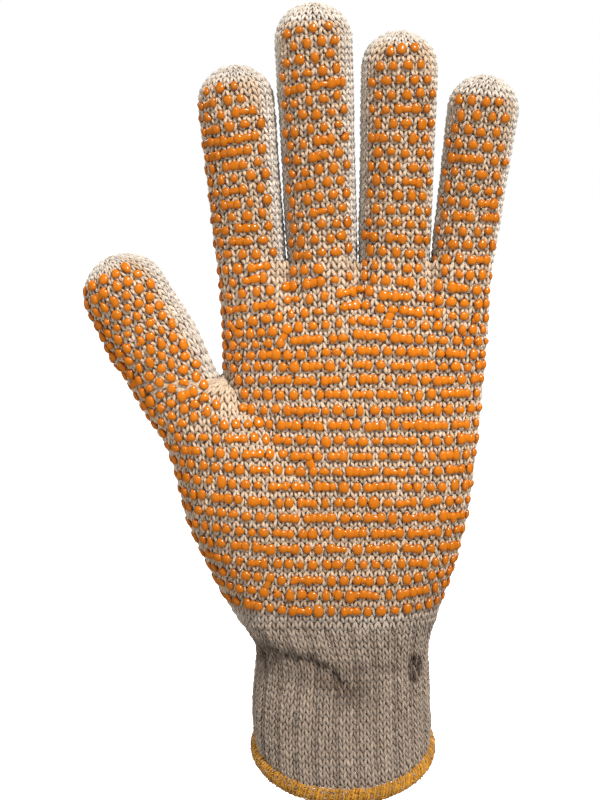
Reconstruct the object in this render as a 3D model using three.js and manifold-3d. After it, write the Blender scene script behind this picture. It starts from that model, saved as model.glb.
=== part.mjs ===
// Cotton work glove for the left hand, filled as it is worn.
// Millimetres, +Z up along the fingers, palm side towards -Y, thumb towards -X.
// The origin is the middle of the wrist opening, level with the lowest point of the hem.
import * as THREE from "three";
import * as BufferGeometryUtils from "three/addons/utils/BufferGeometryUtils.js";
import Module from "manifold-3d";

const wasm = await Module();
wasm.setup();

// Driving sizes
const knitWall = 2; // thickness of the knitted cloth
const seatGap = 0.3; // clearance between pieces that are knitted together
const cuffHeight = 56; // lowest point of the hem to the start of the palm
const cuffWidth = 57.6;
const cuffDepth = 46;
const hemSideRise = 12; // how much higher the hem sits at the sides than at the front
const hemBackRise = 17; // and at the back
const hemHeight = 3.6;
const hemThickness = 3.2;
const palmHeight = 113; // start of the palm to the finger crotches
const palmDepth = 33;
const crotchWeb = 15; // cloth left between the fingers, front to back
const thumbCrotchHeight = 77; // start of the palm to the thumb crotch
const thenarReach = 69; // wrist's middle to the outer side of the thumb, at its crotch
const thenarDepth = 33;
const foldDepth = 3.2; // slanting fold across the front of the wrist
const foldWidth = 3.6;
const foldStart = -0.48; // left end of the fold, as a share of the cuff's width
const foldEnd = 0.16;
const dimpleDepth = 1.6; // small pressed spot at the right of the wrist
const dimpleRadius = 4.2;

// Fingers from the thumb side to the outer side. Their widths at the crotch add up to the palm's width.
// lean is the tilt in degrees, to the right when positive, and curl is how far the tip comes forward.
const fingers = [
  { name: "index_finger", length: 62, baseWidth: 22.4, width: 24.2, depth: 21.5, lean: -5.2, curl: 3 },
  { name: "middle_finger", length: 81, baseWidth: 22.4, width: 24.6, depth: 22, lean: -2.4, curl: 5 },
  { name: "ring_finger", length: 72.2, baseWidth: 22.8, width: 24.2, depth: 21.5, lean: 1.2, curl: 6 },
  { name: "little_finger", length: 59, baseWidth: 20.2, width: 22.4, depth: 19.5, lean: 7, curl: 6 },
];
const thumb = { name: "thumb", length: 43, width: 27, depth: 25, lean: -28, curl: 7 };

// Facets
const stallSides = 20;
const stationsPerFinger = 6;
const thenarStations = 12;
const cuffSides = 44;
const hemSides = 6;

// Shape of the hand through the palm. up is the share of palmHeight, left and right are shares of the
// palm's width from the wrist's middle, front and back are shares of palmDepth.
const palmRows = [
  { up: 0.0, left: -0.372, right: 0.345, front: 0.64, back: 0.62 },
  { up: 0.055, left: -0.376, right: 0.366, front: 0.625, back: 0.6 },
  { up: 0.11, left: -0.38, right: 0.392, front: 0.6, back: 0.58 },
  { up: 0.222, left: -0.392, right: 0.435, front: 0.56, back: 0.54 },
  { up: 0.334, left: -0.405, right: 0.464, front: 0.52, back: 0.52 },
  { up: 0.5, left: -0.42, right: 0.489, front: 0.475, back: 0.5 },
  { up: 0.669, left: -0.433, right: 0.51, front: 0.45, back: 0.48 },
  { up: 0.781, left: -0.434, right: 0.521, front: 0.44, back: 0.46 },
  { up: 0.893, left: -0.443, right: 0.53, front: 0.42, back: 0.44 },
  { up: 0.95, left: -0.45, right: 0.537, front: 0.405, back: 0.425 },
  { up: 1.0, left: -0.457, right: 0.543, front: 0.4, back: 0.41 },
];

// Ball of the thumb. up is the share of thumbCrotchHeight, outer and inner are shares of thenarReach
// to the left of the wrist's middle, depth is a share of thenarDepth, forward of cuffDepth.
const thenarRows = [
  { up: 0.0, outer: 0.49, inner: 0.12, depth: 1.22, forward: 0.0 },
  { up: 0.08, outer: 0.546, inner: 0.1, depth: 1.2, forward: 0.012 },
  { up: 0.163, outer: 0.595, inner: 0.08, depth: 1.17, forward: 0.03 },
  { up: 0.245, outer: 0.637, inner: 0.07, depth: 1.14, forward: 0.045 },
  { up: 0.327, outer: 0.681, inner: 0.07, depth: 1.1, forward: 0.06 },
  { up: 0.409, outer: 0.719, inner: 0.08, depth: 1.07, forward: 0.07 },
  { up: 0.49, outer: 0.741, inner: 0.1, depth: 1.04, forward: 0.075 },
  { up: 0.573, outer: 0.764, inner: 0.14, depth: 1.0, forward: 0.08 },
  { up: 0.655, outer: 0.788, inner: 0.2, depth: 0.96, forward: 0.08 },
  { up: 0.737, outer: 0.824, inner: 0.27, depth: 0.91, forward: 0.08 },
  { up: 0.819, outer: 0.883, inner: 0.35, depth: 0.86, forward: 0.08 },
  { up: 0.9, outer: 0.938, inner: 0.44, depth: 0.8, forward: 0.08 },
  { up: 1.0, outer: 1.0, inner: 0.535, depth: 0.758, forward: 0.08 },
];

// Cuff. up is the share of cuffHeight, left and right are shares of cuffWidth, front and back of cuffDepth.
// Its last row is the start of the palm.
const cuffRows = [
  { up: 0.0, left: -0.49, right: 0.5, front: 0.5, back: 0.5 },
  { up: 0.1, left: -0.503, right: 0.503, front: 0.5, back: 0.5 },
  { up: 0.3, left: -0.508, right: 0.496, front: 0.492, back: 0.49 },
  { up: 0.5, left: -0.498, right: 0.492, front: 0.475, back: 0.475 },
  { up: 0.66, left: -0.486, right: 0.488, front: 0.455, back: 0.455 },
  { up: 0.78, left: -0.484, right: 0.488, front: 0.448, back: 0.445 },
  { up: 0.9, left: -0.52, right: 0.503, front: 0.452, back: 0.445 },
];

// Finger stalls and the thumb. along is the share of the stall's straight part.
const stallRows = [
  { along: 0.0, width: 0.0, depth: 0.0 }, // shares of the way from the base's size to the stall's own
  { along: 0.12, width: 0.25, depth: 0.35 },
  { along: 0.28, width: 0.36, depth: 0.6 },
  { along: 0.46, width: 0.45, depth: 0.8 },
  { along: 0.64, width: 0.62, depth: 0.92 },
  { along: 0.82, width: 0.9, depth: 1.0 },
  { along: 1.0, width: 1.0, depth: 1.0 },
];
const tipRound = 0.48; // height of the round tip, as a share of the stall's width
const tipSteps = 5;

// Places worked out from the sizes
const palmWidth = fingers.reduce((sum, finger) => sum + finger.baseWidth, 0);
const crotchLevel = cuffHeight + palmHeight;
const thumbLevel = cuffHeight + thumbCrotchHeight;
const palmBottom = cuffHeight + seatGap;
const palmSquareness = 2.7;
const roundSquareness = 2.2;
const overrun = 1; // how far a cut runs past the face that it opens

// Smooth value of one column of a table at a place between its rows.
function tableValue(rows, key, column, place) {
  const last = rows.length - 1;
  let i = 0;
  while (i < last - 1 && place > rows[i + 1][key]) i += 1;
  const a = rows[Math.max(i - 1, 0)];
  const b = rows[i];
  const c = rows[i + 1];
  const d = rows[Math.min(i + 2, last)];
  const span = c[key] - b[key];
  const t = Math.min(Math.max((place - b[key]) / span, 0), 1);
  const slopeIn = ((c[column] - a[column]) / (c[key] - a[key])) * span;
  const slopeOut = ((d[column] - b[column]) / (d[key] - b[key])) * span;
  const rise = c[column] - b[column];
  return (
    b[column] +
    slopeIn * t +
    (3 * rise - 2 * slopeIn - slopeOut) * t * t +
    (slopeIn + slopeOut - 2 * rise) * t * t * t
  );
}

// Half depth of a rounded section at a share of its half width.
function roundness(share, squareness) {
  return Math.max(1 - Math.abs(share) ** squareness, 0) ** (1 / squareness);
}

function smoothStep(from, to, value) {
  const t = Math.min(Math.max((value - from) / (to - from), 0), 1);
  return t * t * (3 - 2 * t);
}

// Closed geometry through rings of equally many points. Without end caps the last ring joins the first.
// A point end closes on one point, and a ladder end joins the ring's front to its back.
function loftRings(rings, { start = null, end = null } = {}) {
  const sides = rings[0].length;
  const points = rings.flat();
  const faces = [];
  const looped = start === null && end === null;
  const bands = looped ? rings.length : rings.length - 1;
  for (let r = 0; r < bands; r += 1) {
    const below = r * sides;
    const above = ((r + 1) % rings.length) * sides;
    for (let s = 0; s < sides; s += 1) {
      const next = (s + 1) % sides;
      faces.push([below + s, below + next, above + next], [below + s, above + next, above + s]);
    }
  }
  const closeEnd = (ring, cap, flip) => {
    const put = (a, b, c) => faces.push(flip ? [a, c, b] : [a, b, c]);
    if (cap === "ladder") {
      for (let s = 0; s < sides / 2; s += 1) {
        const back = (sides - s) % sides;
        const nextBack = sides - s - 1;
        if (back !== s && back !== (s + 1) % sides) put(ring + s, ring + s + 1, ring + back);
        if (nextBack !== s + 1) put(ring + s + 1, ring + nextBack, ring + back);
      }
    } else {
      points.push(cap);
      for (let s = 0; s < sides; s += 1) put(ring + s, ring + ((s + 1) % sides), points.length - 1);
    }
  };
  if (!looped) {
    closeEnd(0, start, true);
    closeEnd((rings.length - 1) * sides, end, false);
  }
  const geometry = new THREE.BufferGeometry();
  const flat = new Float32Array(points.flatMap((p) => [p.x, p.y, p.z]));
  geometry.setAttribute("position", new THREE.BufferAttribute(flat, 3));
  geometry.setIndex(faces.flat());
  return facingOut(geometry);
}

// The same geometry with its faces turned outward.
function facingOut(geometry) {
  const p = geometry.attributes.position;
  const index = Array.from(geometry.index.array);
  const [a, b, c] = [new THREE.Vector3(), new THREE.Vector3(), new THREE.Vector3()];
  let volume = 0;
  for (let i = 0; i < index.length; i += 3) {
    a.fromBufferAttribute(p, index[i]);
    b.fromBufferAttribute(p, index[i + 1]);
    c.fromBufferAttribute(p, index[i + 2]);
    volume += a.dot(b.cross(c));
  }
  if (volume < 0) {
    for (let i = 0; i < index.length; i += 3) [index[i], index[i + 1]] = [index[i + 1], index[i]];
    geometry.setIndex(index);
  }
  return geometry;
}

function toSolid(geometry) {
  const merged = BufferGeometryUtils.mergeVertices(geometry, 1e-4);
  const vertProperties = new Float32Array(merged.attributes.position.array);
  const triVerts = new Uint32Array(merged.index.array);
  return new wasm.Manifold(new wasm.Mesh({ numProp: 3, vertProperties, triVerts }));
}

function toGeometry(solid) {
  const mesh = solid.getMesh();
  const geometry = new THREE.BufferGeometry();
  geometry.setAttribute("position", new THREE.BufferAttribute(new Float32Array(mesh.vertProperties), 3));
  geometry.setIndex(Array.from(mesh.triVerts));
  return geometry;
}

// Middle of each finger at the crotch, across the palm.
function fingerCentre(index) {
  const before = fingers.slice(0, index).reduce((sum, finger) => sum + finger.baseWidth, 0);
  return palmWidth * palmRows.at(-1).left + before + fingers[index].baseWidth / 2;
}

// Front to back size of a finger where it leaves the palm.
function fingerBaseDepth(finger) {
  return (finger.depth * palmDepth * (palmRows.at(-1).front + palmRows.at(-1).back)) / fingers[1].depth;
}

// Half depth of the row of finger bases at a place across the palm.
function knuckleHalfDepth(x, inset) {
  let sum = (crotchWeb / 2 - inset) ** 6;
  fingers.forEach((finger, i) => {
    const share = (x - fingerCentre(i)) / (finger.baseWidth / 2);
    const half = fingerBaseDepth(finger) / 2 - inset;
    sum += Math.abs(share) < 1 ? (half * roundness(share, roundSquareness)) ** 6 : 0;
  });
  return sum ** (1 / 6);
}

// Places across the palm, as shares from its left to its right edge, closer together at the crotches.
function palmStations() {
  const shares = [0];
  let passed = 0;
  for (const finger of fingers) {
    for (let j = 1; j <= stationsPerFinger; j += 1) {
      const turn = (1 - Math.cos((Math.PI * j) / stationsPerFinger)) / 2;
      shares.push((passed + finger.baseWidth * turn) / palmWidth);
    }
    passed += finger.baseWidth;
  }
  return shares;
}

// One ring of the palm at a share of its height: its front from left to right, then its back.
function palmRing(up, inset, z) {
  const value = (column) => tableValue(palmRows, "up", column, up);
  const left = value("left") * palmWidth + inset;
  const right = value("right") * palmWidth - inset;
  const middle = (left + right) / 2;
  const half = (right - left) / 2;
  const front = value("front") * palmDepth - inset;
  const back = value("back") * palmDepth - inset;
  const knuckle = smoothStep(0.8, 1, up);
  const front0 = [];
  const back0 = [];
  for (const share of palmStations()) {
    const x = left + (right - left) * share;
    const round = roundness((x - middle) / half, palmSquareness);
    const edge = share === 0 || share === 1;
    const atTop = palmWidth * palmRows.at(-1).left + palmWidth * share;
    const lobe = edge ? 0 : knuckleHalfDepth(atTop, inset);
    const frontDepth = front * round * (1 - knuckle) + Math.min(lobe, front * 1.1) * knuckle;
    const backDepth = back * round * (1 - knuckle) + Math.min(lobe, back * 1.1) * knuckle;
    front0.push(new THREE.Vector3(x, -frontDepth, z));
    back0.push(new THREE.Vector3(x, backDepth, z));
  }
  return [...front0, ...back0.slice(1, -1).reverse()];
}

// One ring of the ball of the thumb at a share of the height up to the thumb's crotch.
function thenarRing(up, inset, z) {
  const value = (column) => tableValue(thenarRows, "up", column, up);
  const left = -value("outer") * thenarReach + inset;
  const right = -value("inner") * thenarReach - inset;
  const half = (value("depth") * thenarDepth) / 2 - inset;
  const y = -value("forward") * cuffDepth;
  const front = [];
  const back = [];
  for (let j = 0; j <= thenarStations; j += 1) {
    const turn = -Math.cos((Math.PI * j) / thenarStations);
    const x = (left + right) / 2 + ((right - left) / 2) * turn;
    const depth = half * roundness(turn, roundSquareness);
    front.push(new THREE.Vector3(x, y - depth, z));
    back.push(new THREE.Vector3(x, y + depth, z));
  }
  return [...front, ...back.slice(1, -1).reverse()];
}

// One ring of a finger or thumb stall. The ring lies level at the base and turns square to the stall.
function stallRing(stall, base, distance, inset, grow) {
  const lean = THREE.MathUtils.degToRad(stall.lean);
  const dome = stall.width * tipRound;
  const straight = stall.length - dome;
  const along = Math.min(distance / straight, 1);
  const width = base.width + (stall.width - base.width) * tableValue(stallRows, "along", "width", along);
  const depth = base.depth + (stall.depth - base.depth) * tableValue(stallRows, "along", "depth", along);
  const tilt = lean * smoothStep(0, 0.55, along);
  const shear = base.level ? 1 : Math.cos(lean) / Math.cos(lean - tilt);
  const halfWidth = (width / 2 - inset) * grow * shear;
  const halfDepth = (depth / 2 - inset) * grow;
  const centre = new THREE.Vector3(
    base.x + Math.sin(lean) * distance,
    base.y - stall.curl * (distance / stall.length) ** 1.7,
    base.z + Math.cos(lean) * distance,
  );
  const ring = [];
  for (let s = 0; s < stallSides; s += 1) {
    const turn = Math.PI + (2 * Math.PI * s) / stallSides;
    const c = Math.cos(turn);
    const d = Math.sin(turn);
    const across = Math.sign(c) * Math.abs(c) ** (2 / roundSquareness) * halfWidth;
    const deep = Math.sign(d) * Math.abs(d) ** (2 / roundSquareness) * halfDepth;
    ring.push(
      new THREE.Vector3(centre.x + Math.cos(tilt) * across, centre.y + deep, centre.z - Math.sin(tilt) * across),
    );
  }
  return { ring, centre };
}

// Rings of one skin of a stall from its base to its tip, and the point that closes the tip.
function stallSkin(stall, base, inset) {
  const dome = stall.width * tipRound;
  const straight = stall.length - dome;
  const rings = stallRows.map((row) => stallRing(stall, base, row.along * straight, inset, 1).ring);
  const reach = dome - inset;
  for (let j = 1; j < tipSteps; j += 1) {
    const turn = (Math.PI / 2) * (j / tipSteps);
    rings.push(stallRing(stall, base, straight + reach * Math.sin(turn), inset, Math.cos(turn)).ring);
  }
  return { rings, tip: stallRing(stall, base, straight + reach, inset, 1).centre };
}

// A knitted stall, open at its base and closed at its tip.
function stallGeometry(stall, base) {
  const outer = stallSkin(stall, base, 0);
  const inner = stallSkin(stall, base, knitWall);
  const rings = [...outer.rings.toReversed(), ...inner.rings];
  return loftRings(rings, { start: outer.tip, end: inner.tip });
}

function fingerBase(index) {
  const finger = fingers[index];
  const width = finger.baseWidth - seatGap;
  return { x: fingerCentre(index), y: 0, z: crotchLevel + seatGap, width, depth: fingerBaseDepth(finger), level: true };
}

// The thumb stands on the ball of the thumb, between its outer side and the palm's edge.
function thumbBase() {
  const top = thenarRows.at(-1);
  const palmEdge = palmWidth * tableValue(palmRows, "up", "left", thumbCrotchHeight / palmHeight);
  const left = -top.outer * thenarReach;
  const right = palmEdge - 2 * seatGap;
  const y = -top.forward * cuffDepth;
  const depth = top.depth * thenarDepth;
  return { x: (left + right) / 2, y, z: thumbLevel + seatGap, width: right - left, depth, level: true };
}

// Cut through the cloth where a stall stands on the palm.
function stallBore(stall, base) {
  const ring = stallRing(stall, base, 0, knitWall, 1).ring;
  const bottom = ring.map((p) => new THREE.Vector3(p.x, p.y, base.z - seatGap - knitWall - overrun));
  const top = ring.map((p) => new THREE.Vector3(p.x, p.y, base.z + overrun));
  return toSolid(loftRings([bottom, top], { start: "ladder", end: "ladder" }));
}

// Palm: two hollow forms joined, the hand's tube and the ball of the thumb, with a bore for each stall.
function palmGeometry() {
  const tube = (inset, floor, roof) => {
    const rings = palmRows.map(({ up }) => {
      const z = Math.min(Math.max(cuffHeight + up * palmHeight, floor), roof);
      return palmRing(up, inset, up === 0 ? floor : z);
    });
    return toSolid(loftRings(rings, { start: "ladder", end: "ladder" }));
  };
  const ball = (inset, floor, roof) => {
    const rings = thenarRows.map(({ up }) => {
      const z = Math.min(cuffHeight + up * thumbCrotchHeight, roof);
      return thenarRing(up, inset, up === 0 ? floor : z);
    });
    return toSolid(loftRings(rings, { start: "ladder", end: "ladder" }));
  };
  const outer = tube(0, palmBottom, crotchLevel).add(ball(0, palmBottom, thumbLevel));
  const below = palmBottom - overrun;
  const inner = tube(knitWall, below, crotchLevel - knitWall).add(ball(knitWall, below, thumbLevel - knitWall));
  let palm = outer.subtract(inner);
  fingers.forEach((finger, i) => {
    palm = palm.subtract(stallBore(finger, fingerBase(i)));
  });
  palm = palm.subtract(stallBore(thumb, thumbBase()));
  return toGeometry(palm);
}

// Height of the hem's lower edge: it rises from the front to the sides, and a little more to the back.
function hemLevel(y) {
  const share = (y + cuffDepth / 2) / cuffDepth;
  return (4 * hemSideRise - hemBackRise) * share + (2 * hemBackRise - 4 * hemSideRise) * share * share;
}

// How far the slanting fold and the dimple press the front of the cuff in.
function pressedIn(x, z) {
  const span = (foldEnd - foldStart) * cuffWidth;
  const share = (x - foldStart * cuffWidth) / span;
  const line = cuffHeight * (0.83 - 0.3 * Math.max(share, 0) ** 1.2);
  const away = (z - line) / foldWidth;
  const fade = smoothStep(-0.15, 0.1, share) * (1 - smoothStep(0.6, 1.15, share));
  const groove = foldDepth * fade * (Math.exp(-away * away) - 0.35 * Math.exp(-((away - 1.9) ** 2)));
  const spot = Math.hypot(x - cuffWidth * 0.394, z - cuffHeight * 0.745) / dimpleRadius;
  return groove + dimpleDepth * Math.exp(-spot * spot);
}

// One ring of the cuff at a share of its height.
function cuffRing(up, inset) {
  const rows = [...cuffRows, palmSeatRow()];
  const value = (column) => tableValue(rows, "up", column, up);
  const left = value("left") * cuffWidth + inset;
  const right = value("right") * cuffWidth - inset;
  const front = value("front") * cuffDepth - inset;
  const back = value("back") * cuffDepth - inset;
  const ring = [];
  for (let s = 0; s < cuffSides; s += 1) {
    const turn = Math.PI + (2 * Math.PI * s) / cuffSides;
    const c = Math.cos(turn);
    const d = Math.sin(turn);
    const x = (left + right) / 2 + (Math.sign(c) * Math.abs(c) ** (2 / roundSquareness) * (right - left)) / 2;
    const y = Math.sign(d) * Math.abs(d) ** (2 / roundSquareness) * (d < 0 ? front : back);
    const bottom = hemLevel(y) + hemHeight + seatGap;
    const z = bottom + (cuffHeight - bottom) * up;
    const facing = Math.max(-d, 0) ** 0.7;
    ring.push(new THREE.Vector3(x, y + pressedIn(x, z) * facing, z));
  }
  return ring;
}

// The palm's first row, in the cuff's own shares.
function palmSeatRow() {
  const first = palmRows[0];
  return {
    up: 1,
    left: (first.left * palmWidth) / cuffWidth,
    right: (first.right * palmWidth) / cuffWidth,
    front: (first.front * palmDepth) / cuffDepth,
    back: (first.back * palmDepth) / cuffDepth,
  };
}

function cuffGeometry() {
  const outerSteps = 15;
  const innerSteps = 9;
  const outer = Array.from({ length: outerSteps }, (_, i) => cuffRing(i / (outerSteps - 1), 0));
  const inner = Array.from({ length: innerSteps }, (_, i) => cuffRing(1 - i / (innerSteps - 1), knitWall));
  return loftRings([...outer, ...inner]);
}

// Overlocked edge: a rounded bead under the lower edge of the cuff.
function hemGeometry() {
  const path = cuffRing(0, knitWall / 2);
  const rings = path.map((p, i) => {
    const before = path[(i + cuffSides - 1) % cuffSides];
    const after = path[(i + 1) % cuffSides];
    const out = new THREE.Vector3(after.y - before.y, before.x - after.x, 0).normalize();
    const middle = p.z - seatGap - hemHeight / 2;
    return Array.from({ length: hemSides }, (_, j) => {
      const turn = (2 * Math.PI * (j + 0.5)) / hemSides;
      const reach = (Math.cos(turn) * hemThickness) / 2;
      const rise = (Math.sin(turn) * hemHeight) / 2;
      return new THREE.Vector3(p.x + out.x * reach, p.y + out.y * reach, middle + rise);
    });
  });
  return loftRings(rings);
}

// Materials
const knitCream = new THREE.MeshStandardMaterial({ color: 0xcdbfa9, roughness: 0.95, metalness: 0 });
const knitGrey = new THREE.MeshStandardMaterial({ color: 0xa6947f, roughness: 0.95, metalness: 0 });
const hemThread = new THREE.MeshStandardMaterial({ color: 0xd08a18, roughness: 0.85, metalness: 0 });

const glove = new THREE.Group();
function addPiece(name, geometry, material) {
  const mesh = new THREE.Mesh(geometry, material.clone());
  mesh.name = name;
  glove.add(mesh);
}
addPiece("palm", palmGeometry(), knitCream);
fingers.forEach((finger, i) => addPiece(finger.name, stallGeometry(finger, fingerBase(i)), knitCream));
addPiece(thumb.name, stallGeometry(thumb, thumbBase()), knitCream);
addPiece("cuff", cuffGeometry(), knitGrey);
addPiece("hem", hemGeometry(), hemThread);

export default glove;
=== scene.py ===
# String-knit cotton work glove, left hand, palm side to the camera.
# Every knit stitch is a pair of yarn legs laid on the glove's own form, and every grip dot is a bead of PVC.
import math

import bpy
import numpy as np
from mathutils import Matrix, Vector


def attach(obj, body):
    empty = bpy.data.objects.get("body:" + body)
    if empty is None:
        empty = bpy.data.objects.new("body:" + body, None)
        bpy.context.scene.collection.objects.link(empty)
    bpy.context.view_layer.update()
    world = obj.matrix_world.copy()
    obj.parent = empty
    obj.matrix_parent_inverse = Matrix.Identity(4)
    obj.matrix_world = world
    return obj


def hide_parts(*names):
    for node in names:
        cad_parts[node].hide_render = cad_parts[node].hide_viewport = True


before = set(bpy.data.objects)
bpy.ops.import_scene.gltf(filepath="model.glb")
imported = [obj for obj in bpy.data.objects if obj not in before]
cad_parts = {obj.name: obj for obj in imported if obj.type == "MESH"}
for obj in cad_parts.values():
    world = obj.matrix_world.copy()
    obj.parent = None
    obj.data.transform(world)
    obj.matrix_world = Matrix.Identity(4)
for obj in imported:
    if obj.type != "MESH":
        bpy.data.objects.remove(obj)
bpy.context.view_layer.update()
mm = 0.001
rng = np.random.default_rng(20)

# Sizes in millimetres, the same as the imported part's own
glove = dict(
    cuffHeight=56.0, cuffWidth=57.6, cuffDepth=46.0,
    hemSideRise=12.0, hemBackRise=17.0, hemHeight=3.6, hemThickness=3.2,
    palmHeight=113.0, palmDepth=33.0, crotchWeb=15.0,
    thumbCrotchHeight=77.0, thenarReach=69.0, thenarDepth=33.0,
    foldDepth=1.7, foldWidth=2.6,
    dimpleDepth=0.9, dimpleRadius=4.2, seatGap=0.3,
    palmSquareness=2.7, roundSquareness=2.2, tipRound=0.48,
)
fingers = [
    dict(name="index_finger", length=62.0, baseWidth=22.4, width=24.2, depth=21.5, lean=-5.2, curl=3.0),
    dict(name="middle_finger", length=81.0, baseWidth=22.4, width=24.6, depth=22.0, lean=-2.4, curl=5.0),
    dict(name="ring_finger", length=72.2, baseWidth=22.8, width=24.2, depth=21.5, lean=1.2, curl=6.0),
    dict(name="little_finger", length=59.0, baseWidth=20.2, width=22.4, depth=19.5, lean=7.0, curl=6.0),
]
thumb = dict(name="thumb", length=43.0, width=27.0, depth=25.0, lean=-28.0, curl=7.0)

palmTable = dict(
    up=[0.0, 0.055, 0.11, 0.222, 0.334, 0.5, 0.669, 0.781, 0.893, 0.95, 1.0],
    left=[-0.372, -0.376, -0.38, -0.392, -0.405, -0.42, -0.433, -0.434, -0.443, -0.45, -0.457],
    right=[0.345, 0.366, 0.392, 0.435, 0.464, 0.489, 0.51, 0.521, 0.53, 0.537, 0.543],
    front=[0.64, 0.625, 0.6, 0.56, 0.52, 0.475, 0.45, 0.44, 0.42, 0.405, 0.4],
    back=[0.62, 0.6, 0.58, 0.54, 0.52, 0.5, 0.48, 0.46, 0.44, 0.425, 0.41],
)
thenarTable = dict(
    up=[0.0, 0.08, 0.163, 0.245, 0.327, 0.409, 0.49, 0.573, 0.655, 0.737, 0.819, 0.9, 1.0],
    outer=[0.49, 0.546, 0.595, 0.637, 0.681, 0.719, 0.741, 0.764, 0.788, 0.824, 0.883, 0.938, 1.0],
    inner=[0.12, 0.1, 0.08, 0.07, 0.07, 0.08, 0.1, 0.14, 0.2, 0.27, 0.35, 0.44, 0.535],
    depth=[1.22, 1.2, 1.17, 1.14, 1.1, 1.07, 1.04, 1.0, 0.96, 0.91, 0.86, 0.8, 0.758],
    forward=[0.0, 0.012, 0.03, 0.045, 0.06, 0.07, 0.075, 0.08, 0.08, 0.08, 0.08, 0.08, 0.08],
)
cuffTable = dict(
    up=[0.0, 0.1, 0.3, 0.5, 0.66, 0.78, 0.9, 1.0],
    left=[-0.49, -0.503, -0.508, -0.498, -0.486, -0.484, -0.52],
    right=[0.5, 0.503, 0.496, 0.492, 0.488, 0.488, 0.503],
    front=[0.5, 0.5, 0.492, 0.475, 0.455, 0.448, 0.452],
    back=[0.5, 0.5, 0.49, 0.475, 0.455, 0.445, 0.445],
)
stallTable = dict(
    along=[0.0, 0.12, 0.28, 0.46, 0.64, 0.82, 1.0],
    width=[0.0, 0.25, 0.36, 0.45, 0.62, 0.9, 1.0],
    depth=[0.0, 0.35, 0.6, 0.8, 0.92, 1.0, 1.0],
)

palmWidth = sum(f["baseWidth"] for f in fingers)
crotchLevel = glove["cuffHeight"] + glove["palmHeight"]
thumbLevel = glove["cuffHeight"] + glove["thumbCrotchHeight"]
cuffTable["left"].append(palmTable["left"][0] * palmWidth / glove["cuffWidth"])
cuffTable["right"].append(palmTable["right"][0] * palmWidth / glove["cuffWidth"])
cuffTable["front"].append(palmTable["front"][0] * glove["palmDepth"] / glove["cuffDepth"])
cuffTable["back"].append(palmTable["back"][0] * glove["palmDepth"] / glove["cuffDepth"])


# The form of the glove

def tableValue(table, key, column, place):
    rows, values = table[key], table[column]
    last = len(rows) - 1
    i = 0
    while i < last - 1 and place > rows[i + 1]:
        i += 1
    before, after = max(i - 1, 0), min(i + 2, last)
    span = rows[i + 1] - rows[i]
    t = min(max((place - rows[i]) / span, 0.0), 1.0)
    slopeIn = (values[i + 1] - values[before]) / (rows[i + 1] - rows[before]) * span
    slopeOut = (values[after] - values[i]) / (rows[after] - rows[i]) * span
    rise = values[i + 1] - values[i]
    bend = 3 * rise - 2 * slopeIn - slopeOut
    return values[i] + slopeIn * t + bend * t * t + (slopeIn + slopeOut - 2 * rise) * t ** 3


def roundness(share, squareness):
    return np.maximum(1 - np.abs(share) ** squareness, 0) ** (1 / squareness)


def smoothStep(low, high, value):
    t = np.clip((value - low) / (high - low), 0, 1)
    return t * t * (3 - 2 * t)


def unit(vectors):
    return vectors / np.linalg.norm(vectors, axis=-1, keepdims=True)


def softMax(a, b, blend):
    return np.maximum(a, b) + np.maximum(blend - np.abs(a - b), 0) ** 2 / (4 * blend)


def sectionOf(table, up, width, depth, inset):
    # Left and right edge, front and back half depth of a section, all drawn in by inset.
    left, right = (tableValue(table, "up", side, up) * width for side in ("left", "right"))
    front, back = (tableValue(table, "up", side, up) * depth - inset for side in ("front", "back"))
    return left + inset, right - inset, front, back


def fingerCentre(i):
    before = sum(f["baseWidth"] for f in fingers[:i])
    return palmWidth * palmTable["left"][-1] + before + fingers[i]["baseWidth"] / 2


def fingerBaseDepth(finger):
    topDepth = palmTable["front"][-1] + palmTable["back"][-1]
    return finger["depth"] * glove["palmDepth"] * topDepth / fingers[1]["depth"]


# A ring runs from the right edge over the front to the left edge and back behind, evenly spaced by length.
ringColumns = 240
ringForm = dict(
    samples=500, stallSamples=300, blend=5.0, slack=0.15, ends=0.02,
    knuckleFrom=0.8, lobePower=6, lobeEdge=0.97, lobeCap=1.1,
    ballAbove=9.0, ballSide=9.0, tiltBy=0.55, curlPower=1.7,
)
nowhere = -100.0  # the half depth that stands for no form at that place


def evenRing(front, back, z):
    half = ringColumns // 2
    points = []
    lengths = []
    for line in (front, back):
        steps = np.hypot(np.diff(line[:, 0]), np.diff(line[:, 1]))
        run = np.concatenate([[0], np.cumsum(steps)])
        at = np.linspace(0, run[-1], half + 1)
        points.append(np.stack([np.interp(at, run, line[:, 0]), np.interp(at, run, line[:, 1])], 1))
        lengths.append(run[-1])
    ring = np.concatenate([points[0][:-1], points[1][::-1][:-1]])
    return np.column_stack([ring, np.full(len(ring), z)]), lengths


def ovalRing(middle, halfWidth, front, back, samples):
    # A rounded section with its own half depth at the front and at the back.
    turn = np.linspace(0, np.pi, samples)
    power = 2 / glove["roundSquareness"]
    c, s = np.cos(turn), np.sin(turn)
    x = middle + np.sign(c) * np.abs(c) ** power * halfWidth
    return evenRing(np.stack([x, -s ** power * front], 1), np.stack([x, s ** power * back], 1), 0.0)


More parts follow.
